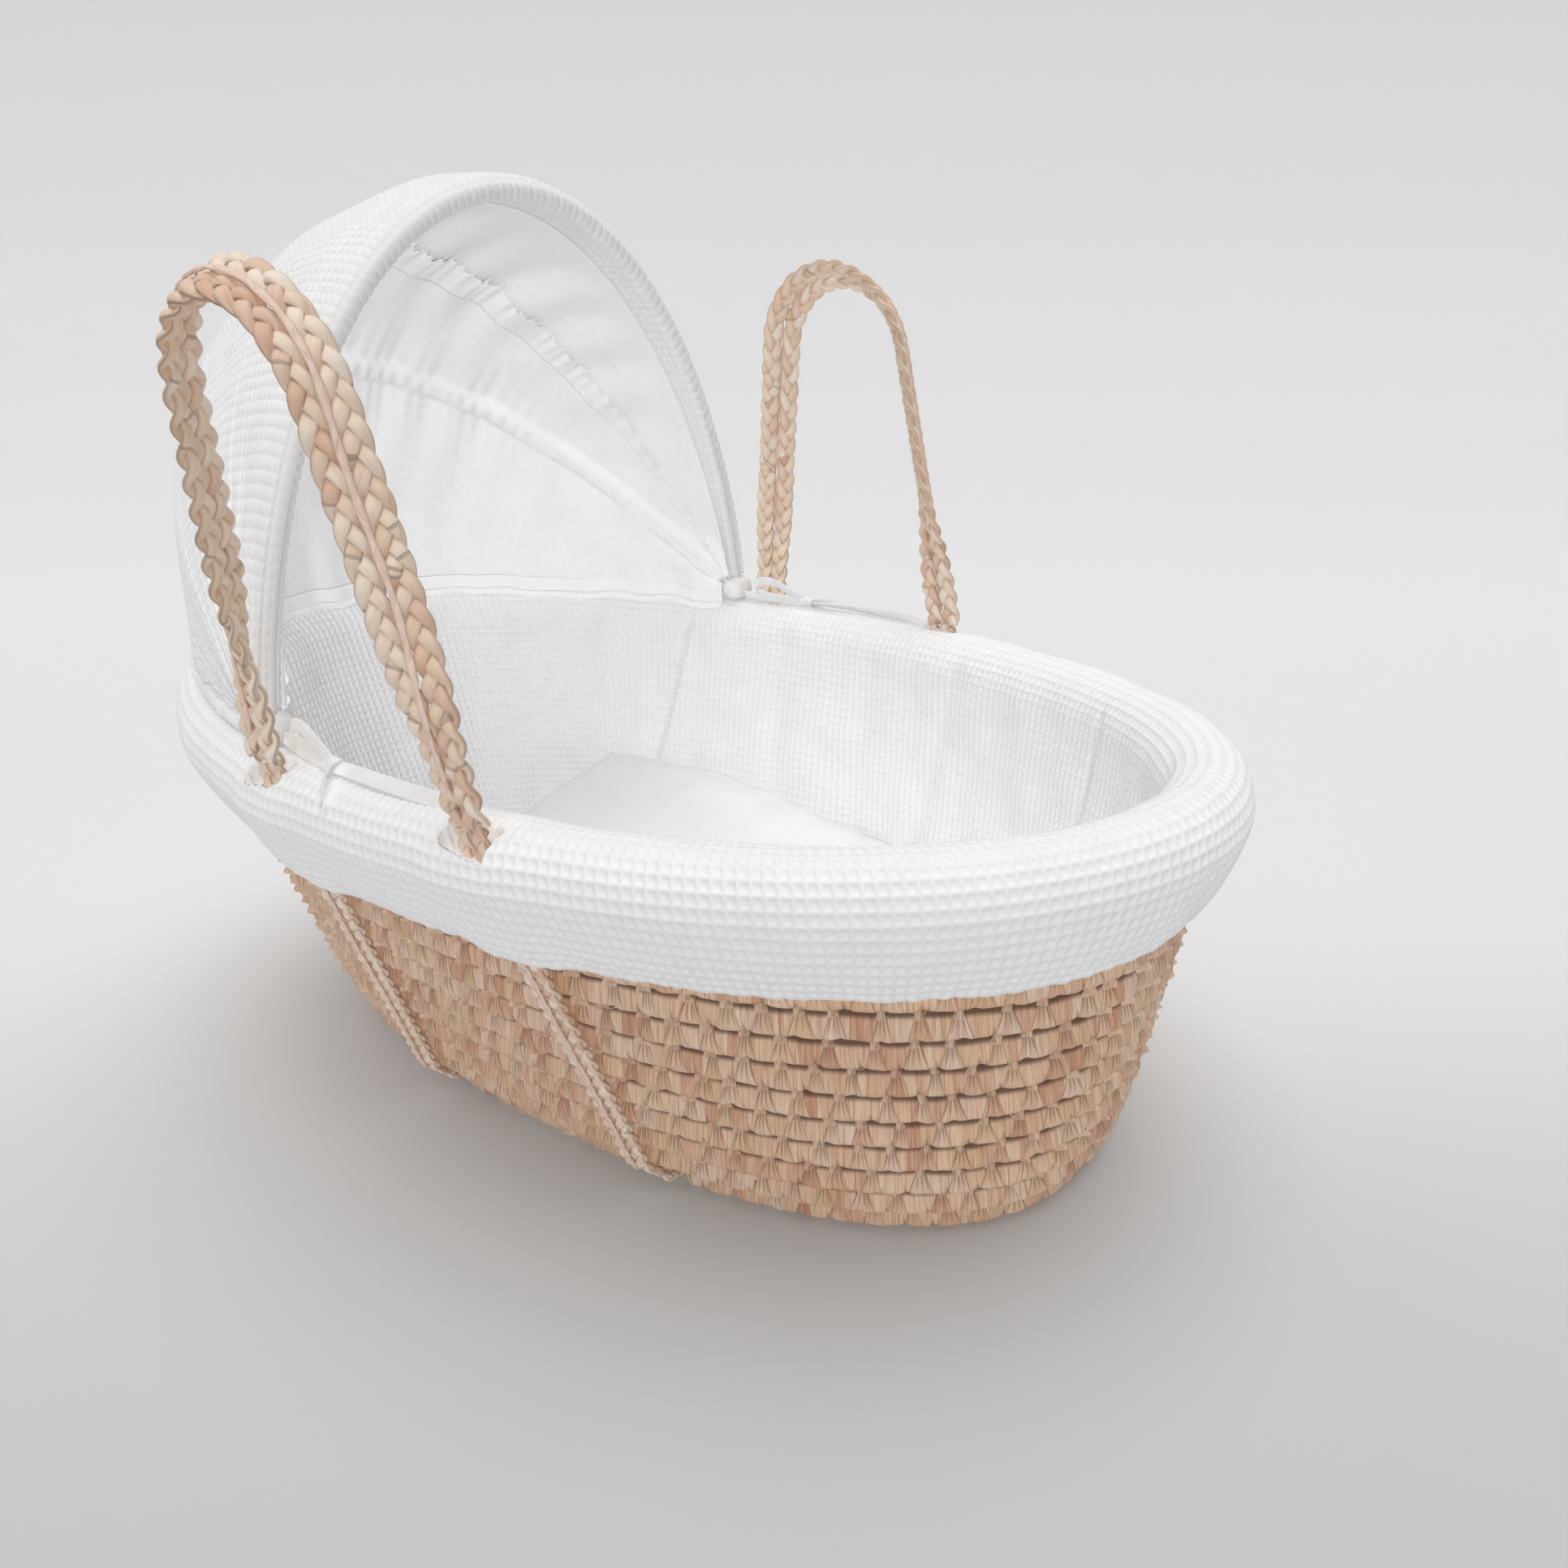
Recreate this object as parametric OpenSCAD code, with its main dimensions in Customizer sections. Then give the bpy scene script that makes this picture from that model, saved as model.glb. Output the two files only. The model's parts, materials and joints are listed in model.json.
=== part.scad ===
// Moses basket cradle: a coiled husk basket on a flat base, two plaited carrying
// handles, a padded waffle-cloth liner, a mattress with a folded coverlet and a
// hood that folds back on two hoops.
//
// Origin: middle of the flat base, on the floor. +X points to the foot end,
// -X to the head end and hood, +Y to the far side, +Z up. Millimetres.

/* [Basket] */
// Half length of the wall's outer face at the rim
rim_half_l = 379; // [360:1:400]
// Half width of the wall's outer face at the rim
rim_half_w = 209; // [195:1:225]
// Half length of the wall's outer face at the floor
base_half_l = 325; // [300:1:340]
// Half width of the wall's outer face at the floor
base_half_w = 151; // [140:1:165]
// Height of the coiled wall
wall_h = 239; // [225:1:255]
// Number of coil rows in the wall
coil_rows = 12; // [10:1:14]
// Thickness of a coil, across the wall
coil_t = 16; // [12:1:17]
// Thickness of the coiled floor
floor_t = 16; // [14:1:18]

/* [Liner] */
// Thickness of the padded inner wall
liner_t = 12; // [8:1:14]
// Height of the skirt's lower edge above the floor
skirt_z = 189; // [175:1:200]
// How far the padded skirt stands out from the wall
skirt_out = 20.6; // [18:0.2:24]
// Height of the rim roll's crest above the wall
roll_h = 28; // [24:1:32]
// Extra height of the liner's rim at the two ends
rim_rise = 8; // [0:1:10]
// Thickness of the quilted floor of the liner
liner_floor_t = 13; // [8:1:15]

/* [Bedding] */
// Height of the mattress top above the floor
mattress_top = 84; // [70:1:90]
// Distance of the coverlet's turned edge from the middle, towards the head
coverlet_head = 205; // [150:5:230]
// Thickness of the coverlet's spread part
coverlet_t = 26; // [18:1:28]
// Thickness of the coverlet's folded part
coverlet_fold_t = 26; // [14:1:28]

/* [Handles] */
// Distance of each handle foot from the middle, along the basket
handle_foot_x = 84; // [78:1:86]
// Lean of the handle legs towards each other
handle_lean = 9.5; // [8:0.5:11]
// Radius of the arch at the top of a handle
handle_arch_r = 54; // [48:1:58]
// Length of the flexing root at each handle foot
handle_root_l = 30; // [24:1:34]
// Half width of one plait
plait_w = 6; // [5:0.5:6]
// Half thickness of one plait
plait_t = 5.2; // [4:0.2:5.4]
// Distance by which the straps spread between rim and floor
strap_spread = 17; // [8:1:22]

/* [Hood] */
// Distance of the hood's pivots from the middle, towards the head
hood_x = 104; // [102:1:115]
// Height of the hood's pivots above the wall
hood_pivot_h = 40; // [40:1:44]
// Forward lean of the hood's front edge from upright
hood_lean = 8.5; // [4:0.5:9]
// Angle that each of the hood's three panels covers
panel_angle = 32; // [28:1:32]
// Half thickness of a hoop
hoop_r = 2.5; // [2:0.1:2.5]

/* [Hidden] */

// Shape exponent of the oval: 2 is an ellipse, more is squarer
rim_n = 2;
base_n = 2.4;
// Corners of a coil row's outline, and of a soft part's outline
coil_sides = 72;
soft_sides = 96;
// Power that keeps the rim level along the sides and lifts its ends
rise_power = 2.5;
coil_pitch = wall_h / coil_rows;
// How far each of the two lowest rows tucks in under the wall
tuck = [9, 2];
// Half of a row's step, where its corner stands out from the mean slope
step_out = coil_pitch / 2 * (rim_half_w - base_half_w) / wall_h;
gap = 0.6;

// Strap and handle places
plait_pitch = plait_w + 0.2;
wall_clear = 0.9;
strap_off = step_out + wall_clear + plait_t;
strap_half = plait_pitch + plait_w;
strap_bulge_w = 22;
strap_bulge_t = strap_off + plait_t - step_out - 1;
strap_clear = 3;
knuckle_gap = 1.2;
channel_h = 2 * plait_t + 1.6;
strap_under_z = plait_t + 0.5;
roll_top = wall_h + roll_h;
handle_z = roll_top + plait_t + gap + 0.2;
handle_y = oval_y(handle_foot_x, wall_h) + strap_off - 0.6;
seam_w = 1.6;
seam_t = 0.9;
seam_sides = 6;
seam_out = plait_t + 0.3;

// Liner places, as offsets from the wall's outer face
liner_out = -coil_t - step_out - 0.8;
liner_in = liner_out - liner_t;
roll_in = liner_in - 2;
bed_off = liner_in - 2;
skirt_in = step_out + 2.6;
roll_foot = wall_h - 6;
liner_floor_z = floor_t + 0.5;
mattress_z = liner_floor_z + liner_floor_t + 1;
sheet_t = 1.4;

// Hood layers, as offsets from the rim's outer face, innermost first
lining_off = -19;
middle_hoop_off = -13.5;
front_hoop_off = -7.5;
rear_off = -4;
layer_pitch = 2.8;
panel_t = 2.2;
lining_t = 1.3;
hood_z = wall_h + hood_pivot_h;
front_angle = 90 - hood_lean;
middle_angle = front_angle + panel_angle;
rear_angle = middle_angle + panel_angle;
// The middle hoop lies this far behind its panel's front edge
hoop_back = 26;
frill_start = middle_angle - 7;
frill_angle = 6;
lining_angle = 32;
hub_r = 8;
eye_r = 5;
pin_r = 2;
eye_bore = 2.08;
eye_w = 3;
hoop_sides = 10;
tie_t = 1.2;
tie_w = 9;

husk = [0.86, 0.72, 0.55];
plait = [0.88, 0.77, 0.60];
strand = [0.90, 0.80, 0.70];
cloth = [0.95, 0.95, 0.94];
sheet = [0.87, 0.87, 0.87];
gauze = [0.97, 0.97, 0.96];
wire = [0.80, 0.80, 0.80];

// ---------- oval geometry ----------
function spow(v, p) = sign(v) * pow(abs(v), p);
function part_up(z) = min(max(z / wall_h, 0), 1);
function half_l(z) = base_half_l + (rim_half_l - base_half_l) * part_up(z);
function half_w(z) = base_half_w + (rim_half_w - base_half_w) * part_up(z);
function exponent(z) = base_n + (rim_n - base_n) * part_up(z);
function oval_xy(a, off, z) = [
    (half_l(z) + off) * spow(cos(a), 2 / exponent(z)),
    (half_w(z) + off) * spow(sin(a), 2 / exponent(z))
];
// Half width of the wall's outer face at place x and height z
function oval_y(x, z) =
    half_w(z) * pow(1 - pow(abs(x) / half_l(z), exponent(z)), 1 / exponent(z));
function rise(x, z) = rim_rise * pow(abs(x) / rim_half_l, rise_power) * part_up(z);
function smooth(t) = let (c = min(max(t, 0), 1)) c * c * (3 - 2 * c);
// Room that the skirt leaves for the straps beneath it
function strap_room(x) =
    strap_bulge_t * smooth((strap_half + 5 + strap_bulge_w - abs(abs(x) - handle_foot_x)) / strap_bulge_w);

// A point of a soft section: offset from the wall, height, share of the strap room
function soft_pt(a, s) = let (
    flat = oval_xy(a, s[0], s[1]),
    p = s[2] > 0 ? oval_xy(a, s[0] + s[2] * strap_room(flat[0]), s[1]) : flat
) [p[0], p[1], s[1] + rise(p[0], s[1])];

// Corner order of the triangles on a grid of wrapped sections
function grid_faces(rings, m, wrap) = [
    for (i = [0 : rings - (wrap ? 1 : 2)])
        for (j = [0 : m - 1])
            let (a = i * m + j, b = i * m + (j + 1) % m,
                 c = ((i + 1) % rings) * m + j, d = ((i + 1) % rings) * m + (j + 1) % m)
                each [[a, d, b], [a, c, d]]
];
function cap_faces(rings, m) = [
    [for (j = [0 : m - 1]) j],
    [for (j = [m - 1 : -1 : 0]) (rings - 1) * m + j]
];
function tube_faces(rings, m) = concat(grid_faces(rings, m, false), cap_faces(rings, m));
// The same faces seen from the other side
function turned(faces) = [for (f = faces) [for (k = [len(f) - 1 : -1 : 0]) f[k]]];

// A closed section carried all the way round the oval
module soft_ring(section) {
    m = len(section);
    pts = [for (i = [0 : soft_sides - 1]) for (s = section) soft_pt(360 * i / soft_sides, s)];
    polyhedron(pts, turned(grid_faces(soft_sides, m, true)));
}

// A closed section carried part of the way round the oval
module soft_arc(section, from, to, steps) {
    m = len(section);
    pts = [for (i = [0 : steps]) for (s = section) soft_pt(from + (to - from) * i / steps, s)];
    polyhedron(pts, turned(tube_faces(steps + 1, m)));
}

// A solid oval that follows the wall's slope from z0 to z1
module soft_slab(off, z0, z1) {
    m = soft_sides;
    pts = [for (z = [z0, z1]) for (i = [0 : m - 1])
        let (p = oval_xy(360 * i / m, off, z)) [p[0], p[1], z]];
    polyhedron(pts, tube_faces(2, m));
}

// An upright ring of the oval, one coil row high
module coil_ring(z, h, off, t) {
    mid = z + h / 2;
    translate([0, 0, z])
        linear_extrude(h)
            difference() {
                polygon([for (i = [0 : coil_sides - 1]) oval_xy(360 * i / coil_sides, off, mid)]);
                polygon([for (i = [0 : coil_sides - 1]) oval_xy(360 * i / coil_sides, off - t, mid)]);
            }
}

// ---------- sweeps ----------
function unit(v) = v / norm(v);
function tangent(path, i) =
    unit(path[min(i + 1, len(path) - 1)] - path[max(i - 1, 0)]);

// An oval rod along a path: radius r_fixed along the direction fixed, r_side across it
module sweep(path, fixed, r_fixed, r_side, sides = 12) {
    n = len(path);
    pts = [for (i = [0 : n - 1])
        let (side = unit(cross(tangent(path, i), fixed)))
            for (k = [0 : sides - 1])
                path[i] + fixed * r_fixed * cos(360 * k / sides) + side * r_side * sin(360 * k / sides)];
    polyhedron(pts, tube_faces(n, sides));
}

// ---------- coiled basket ----------
// The two channels that let the straps pass under the floor
module strap_channels() {
    for (side = [-1, 1])
        translate([side * (handle_foot_x + strap_spread) - strap_half - 1, -rim_half_w, -1])
            cube([2 * strap_half + 2, 2 * rim_half_w, channel_h + 1]);
}

module base_coil() {
    coils = 5;
    plate_lap = 1.5;
    off0 = -coil_t - tuck[0] - gap;
    color(husk)
        difference() {
            union() {
                translate([0, 0, plate_lap])
                    linear_extrude(floor_t - 2 * plate_lap)
                        polygon([for (i = [0 : coil_sides - 1]) oval_xy(360 * i / coil_sides, off0 - 2, 0)]);
                for (k = [0 : coils - 1])
                    coil_ring(0, floor_t, off0 - k * (coil_t + 2), coil_t);
                linear_extrude(floor_t)
                    polygon([for (i = [0 : coil_sides - 1])
                        oval_xy(360 * i / coil_sides, off0 - coils * (coil_t + 2), 0)]);
            }
            strap_channels();
        }
}

module wall_coil() {
    lap = 0.4;
    color(husk)
        difference() {
            for (k = [0 : coil_rows - 2])
                coil_ring(k * coil_pitch, coil_pitch + (k < coil_rows - 2 ? lap : 0),
                    k < len(tuck) ? -tuck[k] : 0, coil_t);
            strap_channels();
        }
}

module rim_coil() {
    color(husk)
        coil_ring(wall_h - coil_pitch + 0.2, coil_pitch - 0.2, 0, coil_t);
}

// ---------- straps and handles ----------
// Side of the basket: -1 near, 1 far. End: -1 head, 1 foot.
function strap_x(z) = handle_foot_x + strap_spread * (1 - part_up(z));
function strap_pt(side, end, z, out) =
    [end * strap_x(z), side * (oval_y(strap_x(z), z) + out), z];
// From the slit in the rim roll, down the wall and in under the floor's edge
function strap_path(side, end, out) = [
    for (z = [roll_top - 1, wall_h, wall_h / 2, 1.2 * coil_pitch])
        z > wall_h ? strap_pt(side, end, wall_h, out) + [0, 0, z - wall_h] : strap_pt(side, end, z, out),
    strap_pt(side, end, 0, out - 1.4) + [0, 0, 0.65 * coil_pitch],
    strap_pt(side, end, 0, out - 11) + [0, 0, strap_under_z]
];

module wall_strap(side, end) {
    across = [1, 0, 0];
    color(plait)
        for (k = [-1, 1])
            translate([k * plait_pitch, 0, 0])
                sweep(strap_path(side, end, strap_off), across, plait_w, plait_t);
}

// Straight run of one strap under the floor, in its channel
module base_strap(end) {
    y_end = oval_y(strap_x(0), 0) + strap_off - 12 - strap_clear;
    color(plait)
        for (k = [-1, 1])
            translate([k * plait_pitch, 0, 0])
                sweep([for (y = [-y_end, y_end]) [end * strap_x(0), y, strap_under_z]],
                    [1, 0, 0], plait_w, plait_t);
}

module strap_seams() {
    color(strand)
        for (side = [-1, 1], end = [-1, 1])
            sweep([for (z = [skirt_z - 8, wall_h / 2, 1.4 * coil_pitch])
                strap_pt(side, end, z, strap_off + seam_out)], [1, 0, 0], seam_w, seam_t, seam_sides);
}

// Centre line of one plait of a handle, in the XZ plane: one leg, the arch, the other leg
leg_l = (handle_foot_x - handle_arch_r * cos(handle_lean)) / sin(handle_lean);
function leg_pt(s, off) = [
    handle_foot_x - s * sin(handle_lean) + off * cos(handle_lean), 0,
    handle_z + s * cos(handle_lean) + off * sin(handle_lean)
];
arch_z = handle_z + leg_l * cos(handle_lean) - handle_arch_r * sin(handle_lean);
loop_start = handle_root_l + plait_t + knuckle_gap;
function mirrored(p) = [-p[0], p[1], p[2]];
function arch_path(off, steps) = [
    for (i = [0 : steps])
        let (a = handle_lean + (180 - 2 * handle_lean) * i / steps, r = handle_arch_r + off)
            [r * cos(a), 0, arch_z + r * sin(a)]
];
function loop_path(off, from) = concat(
    [for (s = [from, (from + leg_l) / 2]) leg_pt(s, off)],
    arch_path(off, 16),
    [for (s = [(from + leg_l) / 2, from]) mirrored(leg_pt(s, off))]
);

module handle_loop(side) {
    color(plait)
        translate([0, side * handle_y, 0])
            for (k = [-1, 1])
                sweep(loop_path(k * plait_pitch, loop_start), [0, 1, 0], plait_t, plait_w);
}

// The short length of each leg that bends at both ends, on a round knuckle
module handle_root(side) {
    color(plait)
        translate([0, side * handle_y, 0])
            for (k = [-1, 1], end = [0, 1])
                mirror([end, 0, 0]) {
                    sweep([leg_pt(0, k * plait_pitch), leg_pt(handle_root_l, k * plait_pitch)],
                        [0, 1, 0], plait_t, plait_w);
                    for (s = [0, handle_root_l])
                        translate(leg_pt(s, k * plait_pitch))
                            sphere(r = plait_t - 0.1, $fn = 32);
                }
}

module handle_seam(side) {
    color(strand)
        translate([0, side * (handle_y + seam_out), 0])
            sweep(loop_path(0, loop_start + 2), [0, 1, 0], seam_t, seam_w, seam_sides);
}

// ---------- liner ----------
module liner_floor() {
    color(cloth)
        soft_slab(bed_off, liner_floor_z, liner_floor_z + liner_floor_t);
}

module liner_wall() {
    top = roll_foot - 6;
    color(cloth)
        soft_ring([
            [liner_out - tuck[0], liner_floor_z, 0], [liner_out - tuck[0], coil_pitch + 0.5, 0],
            [liner_out - tuck[1], coil_pitch + 1.5, 0], [liner_out - tuck[1], 2 * coil_pitch + 0.5, 0],
            [liner_out, 2 * coil_pitch + 1.5, 0], [liner_out, top, 0],
            [liner_in, top, 0], [liner_in, liner_floor_z, 0]
        ]);
}

module liner_skirt() {
    top = roll_foot - gap;
    color(cloth)
        soft_ring([
            [skirt_in, skirt_z, 1], [skirt_in + 4, skirt_z, 1],
            [skirt_in + 9, skirt_z + 10, 0.9], [skirt_out - 2, skirt_z + 26, 0.6],
            [skirt_out, top, 0.35], [skirt_in, top, 1.07]
        ]);
}

module hem_elastic() {
    hem_h = 5;
    color(cloth)
        soft_ring([
            [skirt_in, skirt_z - hem_h, 1], [skirt_in + 2.4, skirt_z - hem_h, 1],
            [skirt_in + 2.4, skirt_z - gap, 1], [skirt_in, skirt_z - gap, 1]
        ]);
}

// The padded roll over the rim, with a slit for each handle leg
module rim_padding() {
    slit = [2 * strap_half + 3, 2 * plait_t + 3.5, 3 * roll_h];
    color(cloth)
        difference() {
            soft_ring([
                [liner_out, wall_h + 1, 0], [skirt_in, wall_h + 1, 0],
                [skirt_in, roll_foot, 0], [skirt_out, roll_foot, 0.35],
                [skirt_out + 0.4, wall_h + 5, 0.35], [skirt_out - 2.5, wall_h + 15, 0.3],
                [11, roll_top - 4.5, 0], [0, roll_top, 0], [-12, roll_top - 0.5, 0],
                [-24, roll_top - 7, 0], [roll_in + 1.5, wall_h + 11, 0], [roll_in, wall_h - 1, 0],
                [liner_in, roll_foot - 5, 0], [liner_out, roll_foot - 5, 0]
            ]);
            for (side = [-1, 1], end = [-1, 1])
                translate([end * handle_foot_x - slit[0] / 2, side * handle_y - slit[1] / 2, roll_foot - roll_h])
                    cube(slit);
        }
}

// ---------- bedding ----------
module mattress_core() {
    color(sheet)
        soft_slab(bed_off - sheet_t - 0.4, mattress_z, mattress_top - sheet_t - 0.4);
}

module mattress_sheet() {
    color(sheet)
        difference() {
            soft_slab(bed_off, mattress_z, mattress_top);
            soft_slab(bed_off - sheet_t, mattress_z - 1, mattress_top - sheet_t);
        }
}

// A layer of cloth cut off straight at its head end
module bed_layer(z, t, head, foot) {
    intersection() {
        soft_slab(bed_off - 2, z, z + t);
        translate([head, -rim_half_w, z - 1])
            cube([foot - head, 2 * rim_half_w, t + 2]);
    }
}

coverlet_z = mattress_top + 1;
coverlet_fold_z = coverlet_z + coverlet_t + gap;
coverlet_fold_foot = 0;

module coverlet() {
    color(cloth)
        bed_layer(coverlet_z, coverlet_t, -coverlet_head, rim_half_l);
}

module coverlet_fold() {
    color(cloth)
        bed_layer(coverlet_fold_z, coverlet_fold_t, -coverlet_head, coverlet_fold_foot);
}

// ---------- hood ----------
// A point of the hood's arch: radius from the pivot line, place along it
function arch_start(off) = asin((hood_x + hub_r) / (rim_half_l + off));
function hood_pt(t, off) = [(rim_half_l + off) * sin(t) - hood_x, (rim_half_w + off) * cos(t)];
function hood_arch(off, steps) = [
    for (i = [0 : steps])
        let (t0 = arch_start(off)) hood_pt(t0 + (180 - 2 * t0) * i / steps, off)
];

// Carries a drawing of radius and place round the pivot line, from the front edge back
module about_pivots(angle, sweep_angle) {
    translate([-hood_x, 0, hood_z])
        rotate([90, 0, 0])
            rotate([0, 0, angle])
                rotate_extrude(angle = sweep_angle, $fn = 180)
                    children();
}

module hood_shell(off, t, angle, sweep_angle) {
    steps = 28;
    about_pivots(angle, sweep_angle)
        polygon(concat(hood_arch(off, steps), [for (i = [steps : -1 : 0]) hood_arch(off + t, steps)[i]]));
}

// A wire hoop at one angle, with an eye at each end that turns on the tab's pin
module hoop(off, angle) {
    steps = 24;
    a = hood_arch(off, steps);
    eye_y = a[0][1];
    dir = [cos(angle), 0, sin(angle)];
    path = concat([dir * (eye_r - 1) + [0, eye_y, 0]],
        [for (p = a) dir * p[0] + [0, p[1], 0]],
        [dir * (eye_r - 1) - [0, eye_y, 0]]);
    color(wire)
        translate([-hood_x, 0, hood_z])
            difference() {
                union() {
                    sweep(path, [-sin(angle), 0, cos(angle)], hoop_r, hoop_r, hoop_sides);
                    for (side = [-1, 1])
                        translate([0, side * eye_y, 0])
                            rotate([90, 0, 0])
                                cylinder(r = eye_r, h = eye_w, center = true, $fn = 48);
                }
                for (side = [-1, 1])
                    translate([0, side * eye_y, 0])
                        rotate([90, 0, 0])
                            cylinder(r = eye_bore, h = eye_w + 2 * hoop_r, center = true, $fn = 48);
            }
}

module hood_rear_panel() {
    color(cloth)
        hood_shell(rear_off, panel_t, rear_angle, 178 - rear_angle);
}

module hood_middle_panel() {
    color(cloth)
        hood_shell(rear_off + layer_pitch, panel_t, middle_angle, panel_angle);
}

module hood_front_panel() {
    color(cloth)
        hood_shell(rear_off + 2 * layer_pitch, panel_t, front_angle, panel_angle);
}

module hood_lining() {
    color(gauze)
        hood_shell(lining_off, lining_t, frill_start + frill_angle + 0.5, lining_angle);
}

module hood_frill() {
    color(gauze)
        hood_shell(lining_off, lining_t, frill_start, frill_angle);
}

module hood_middle_hoop() {
    hoop(middle_hoop_off, middle_angle + hoop_back);
}

module hood_front_hoop() {
    hoop(front_hoop_off, front_angle);
}

// Elastic edge of the hood, lying on the rim roll round the head end
module hood_hem() {
    lead = 3;
    top = hood_z - 1;
    start = 90 + asin(hood_x / rim_half_l) + lead;
    color(cloth)
        soft_arc([
            [-11, roll_top + 0.8, 0], [2, roll_top + 0.8, 0], [1, top, 0], [-10, top, 0]
        ], start, 360 - start, 40);
}

// Round-topped cloth tab sewn to the rim, with the pin that both hoops' eyes turn on
module hood_tab(side) {
    tab_t = 2.5;
    tab_r = hub_r - 0.8;
    tab_z = roll_top + 1.2;
    tab_y = oval_y(hood_x, wall_h) + 1;
    pin_in = hood_arch(middle_hoop_off, 2)[0][1] - eye_w / 2 - 1;
    color(cloth) {
        translate([-hood_x - tab_r, side > 0 ? tab_y : -tab_y - tab_t, tab_z])
            cube([2 * tab_r, tab_t, hood_z - tab_z]);
        translate([-hood_x, side * tab_y, hood_z])
            rotate([side * -90, 0, 0])
                cylinder(r = tab_r, h = tab_t, $fn = 48);
        translate([-hood_x, side * (tab_y + tab_t), hood_z])
            rotate([side * 90, 0, 0])
                cylinder(r = pin_r, h = tab_y + tab_t - pin_in, $fn = 48);
    }
}

// Ribbon from the hood's corner along the rim to the handle's foot, tied in a bow
module tie(side) {
    crest_off = -6;
    x0 = -hood_x + 7;
    x1 = handle_foot_x - strap_half - 2;
    steps = 10;
    bow_x = -38;
    bow = [17, 6];
    z = roll_top + 0.6;
    function mid(x) = [x, oval_y(x, wall_h) + crest_off];
    xs = [for (i = [0 : steps]) x0 + (x1 - x0) * i / steps];
    color(cloth)
        scale([1, side, 1])
            translate([0, 0, z]) {
                linear_extrude(tie_t)
                    polygon(concat([for (x = xs) mid(x) + [0, tie_w / 2]],
                        [for (i = [steps : -1 : 0]) mid(xs[i]) - [0, tie_w / 2]]));
                // two loops and the knot of the bow
                for (end = [-1, 1])
                    translate([bow_x + end * (bow[0] + 4), mid(bow_x)[1], 0])
                        linear_extrude(4)
                            polygon([for (a = [0 : 15 : 345]) [bow[0] * cos(a), bow[1] * sin(a)]]);
                translate([bow_x - 6, mid(bow_x)[1] - 4.5, 0])
                    cube([12, 9, 6]);
            }
}

base_coil();
wall_coil();
rim_coil();
wall_strap(-1, 1);  // strap_near_foot
wall_strap(-1, -1);  // strap_near_head
wall_strap(1, 1);  // strap_far_foot
wall_strap(1, -1);  // strap_far_head
base_strap(1);  // strap_base_foot
base_strap(-1);  // strap_base_head
strap_seams();
liner_floor();
liner_wall();
liner_skirt();
hem_elastic();
rim_padding();
mattress_core();
mattress_sheet();
coverlet();
coverlet_fold();
handle_root(-1);  // handle_near_root
handle_loop(-1);  // handle_near_loop
handle_seam(-1);  // handle_near_seam
handle_root(1);  // handle_far_root
handle_loop(1);  // handle_far_loop
handle_seam(1);  // handle_far_seam
hood_rear_panel();
hood_hem();
hood_tab(-1);  // hood_tab_near
hood_tab(1);  // hood_tab_far
hood_middle_panel();
hood_middle_hoop();
hood_front_panel();
hood_front_hoop();
hood_lining();
hood_frill();
tie(-1);  // tie_near
tie(1);  // tie_far
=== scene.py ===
"""Looks of the moses basket cradle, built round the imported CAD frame.

Lengths are in millimetres until a mesh is made, in the frame's own axes: +X foot end, +Y far side, +Z up.
Places come from the CAD nodes' boxes and the joints. Every soft or woven piece stands for its CAD solid.
"""
import json
import math

import bpy
import numpy as np
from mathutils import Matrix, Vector


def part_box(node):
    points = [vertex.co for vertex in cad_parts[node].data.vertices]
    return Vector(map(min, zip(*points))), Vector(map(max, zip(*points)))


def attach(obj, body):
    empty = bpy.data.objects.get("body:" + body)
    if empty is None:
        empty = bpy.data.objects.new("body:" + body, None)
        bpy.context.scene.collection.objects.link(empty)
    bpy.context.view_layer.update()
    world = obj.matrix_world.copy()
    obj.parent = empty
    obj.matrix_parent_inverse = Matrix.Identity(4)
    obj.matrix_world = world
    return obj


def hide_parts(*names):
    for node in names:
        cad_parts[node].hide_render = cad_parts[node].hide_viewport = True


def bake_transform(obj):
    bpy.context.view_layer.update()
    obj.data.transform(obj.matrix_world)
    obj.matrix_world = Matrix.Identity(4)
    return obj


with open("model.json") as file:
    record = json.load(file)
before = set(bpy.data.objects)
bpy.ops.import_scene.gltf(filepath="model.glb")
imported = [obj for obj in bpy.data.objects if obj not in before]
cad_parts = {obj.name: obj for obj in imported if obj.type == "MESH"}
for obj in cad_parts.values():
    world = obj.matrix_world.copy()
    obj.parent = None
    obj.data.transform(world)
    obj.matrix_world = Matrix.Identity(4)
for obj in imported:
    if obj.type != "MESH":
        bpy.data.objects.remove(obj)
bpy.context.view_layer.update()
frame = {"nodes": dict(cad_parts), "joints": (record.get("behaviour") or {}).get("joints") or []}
MM = 0.001
TAU = 2 * math.pi


# ---------- places read from the frame ----------
def corners(node):
    low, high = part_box(node)
    return np.array(low) / MM, np.array(high) / MM


def joint_at(name):
    joint = next(j for j in frame["joints"] if j["name"] == name)
    return np.array(joint["pos_m"]) / MM


rim_low, rim_high = corners("rim_coil")
base_low, base_high = corners("base_coil")
skirt_low, skirt_high = corners("liner_skirt")
pad_low, pad_high = corners("rim_padding")
sheet_low, sheet_high = corners("mattress_sheet")
cover_low, cover_high = corners("coverlet")
fold_low, fold_high = corners("coverlet_fold")
loop_low, loop_high = corners("handle_far_loop")
tie_low, tie_high = corners("tie_far")
strap_low, strap_high = corners("strap_far_foot")
tab_low, tab_high = corners("hood_tab_far")

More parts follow.
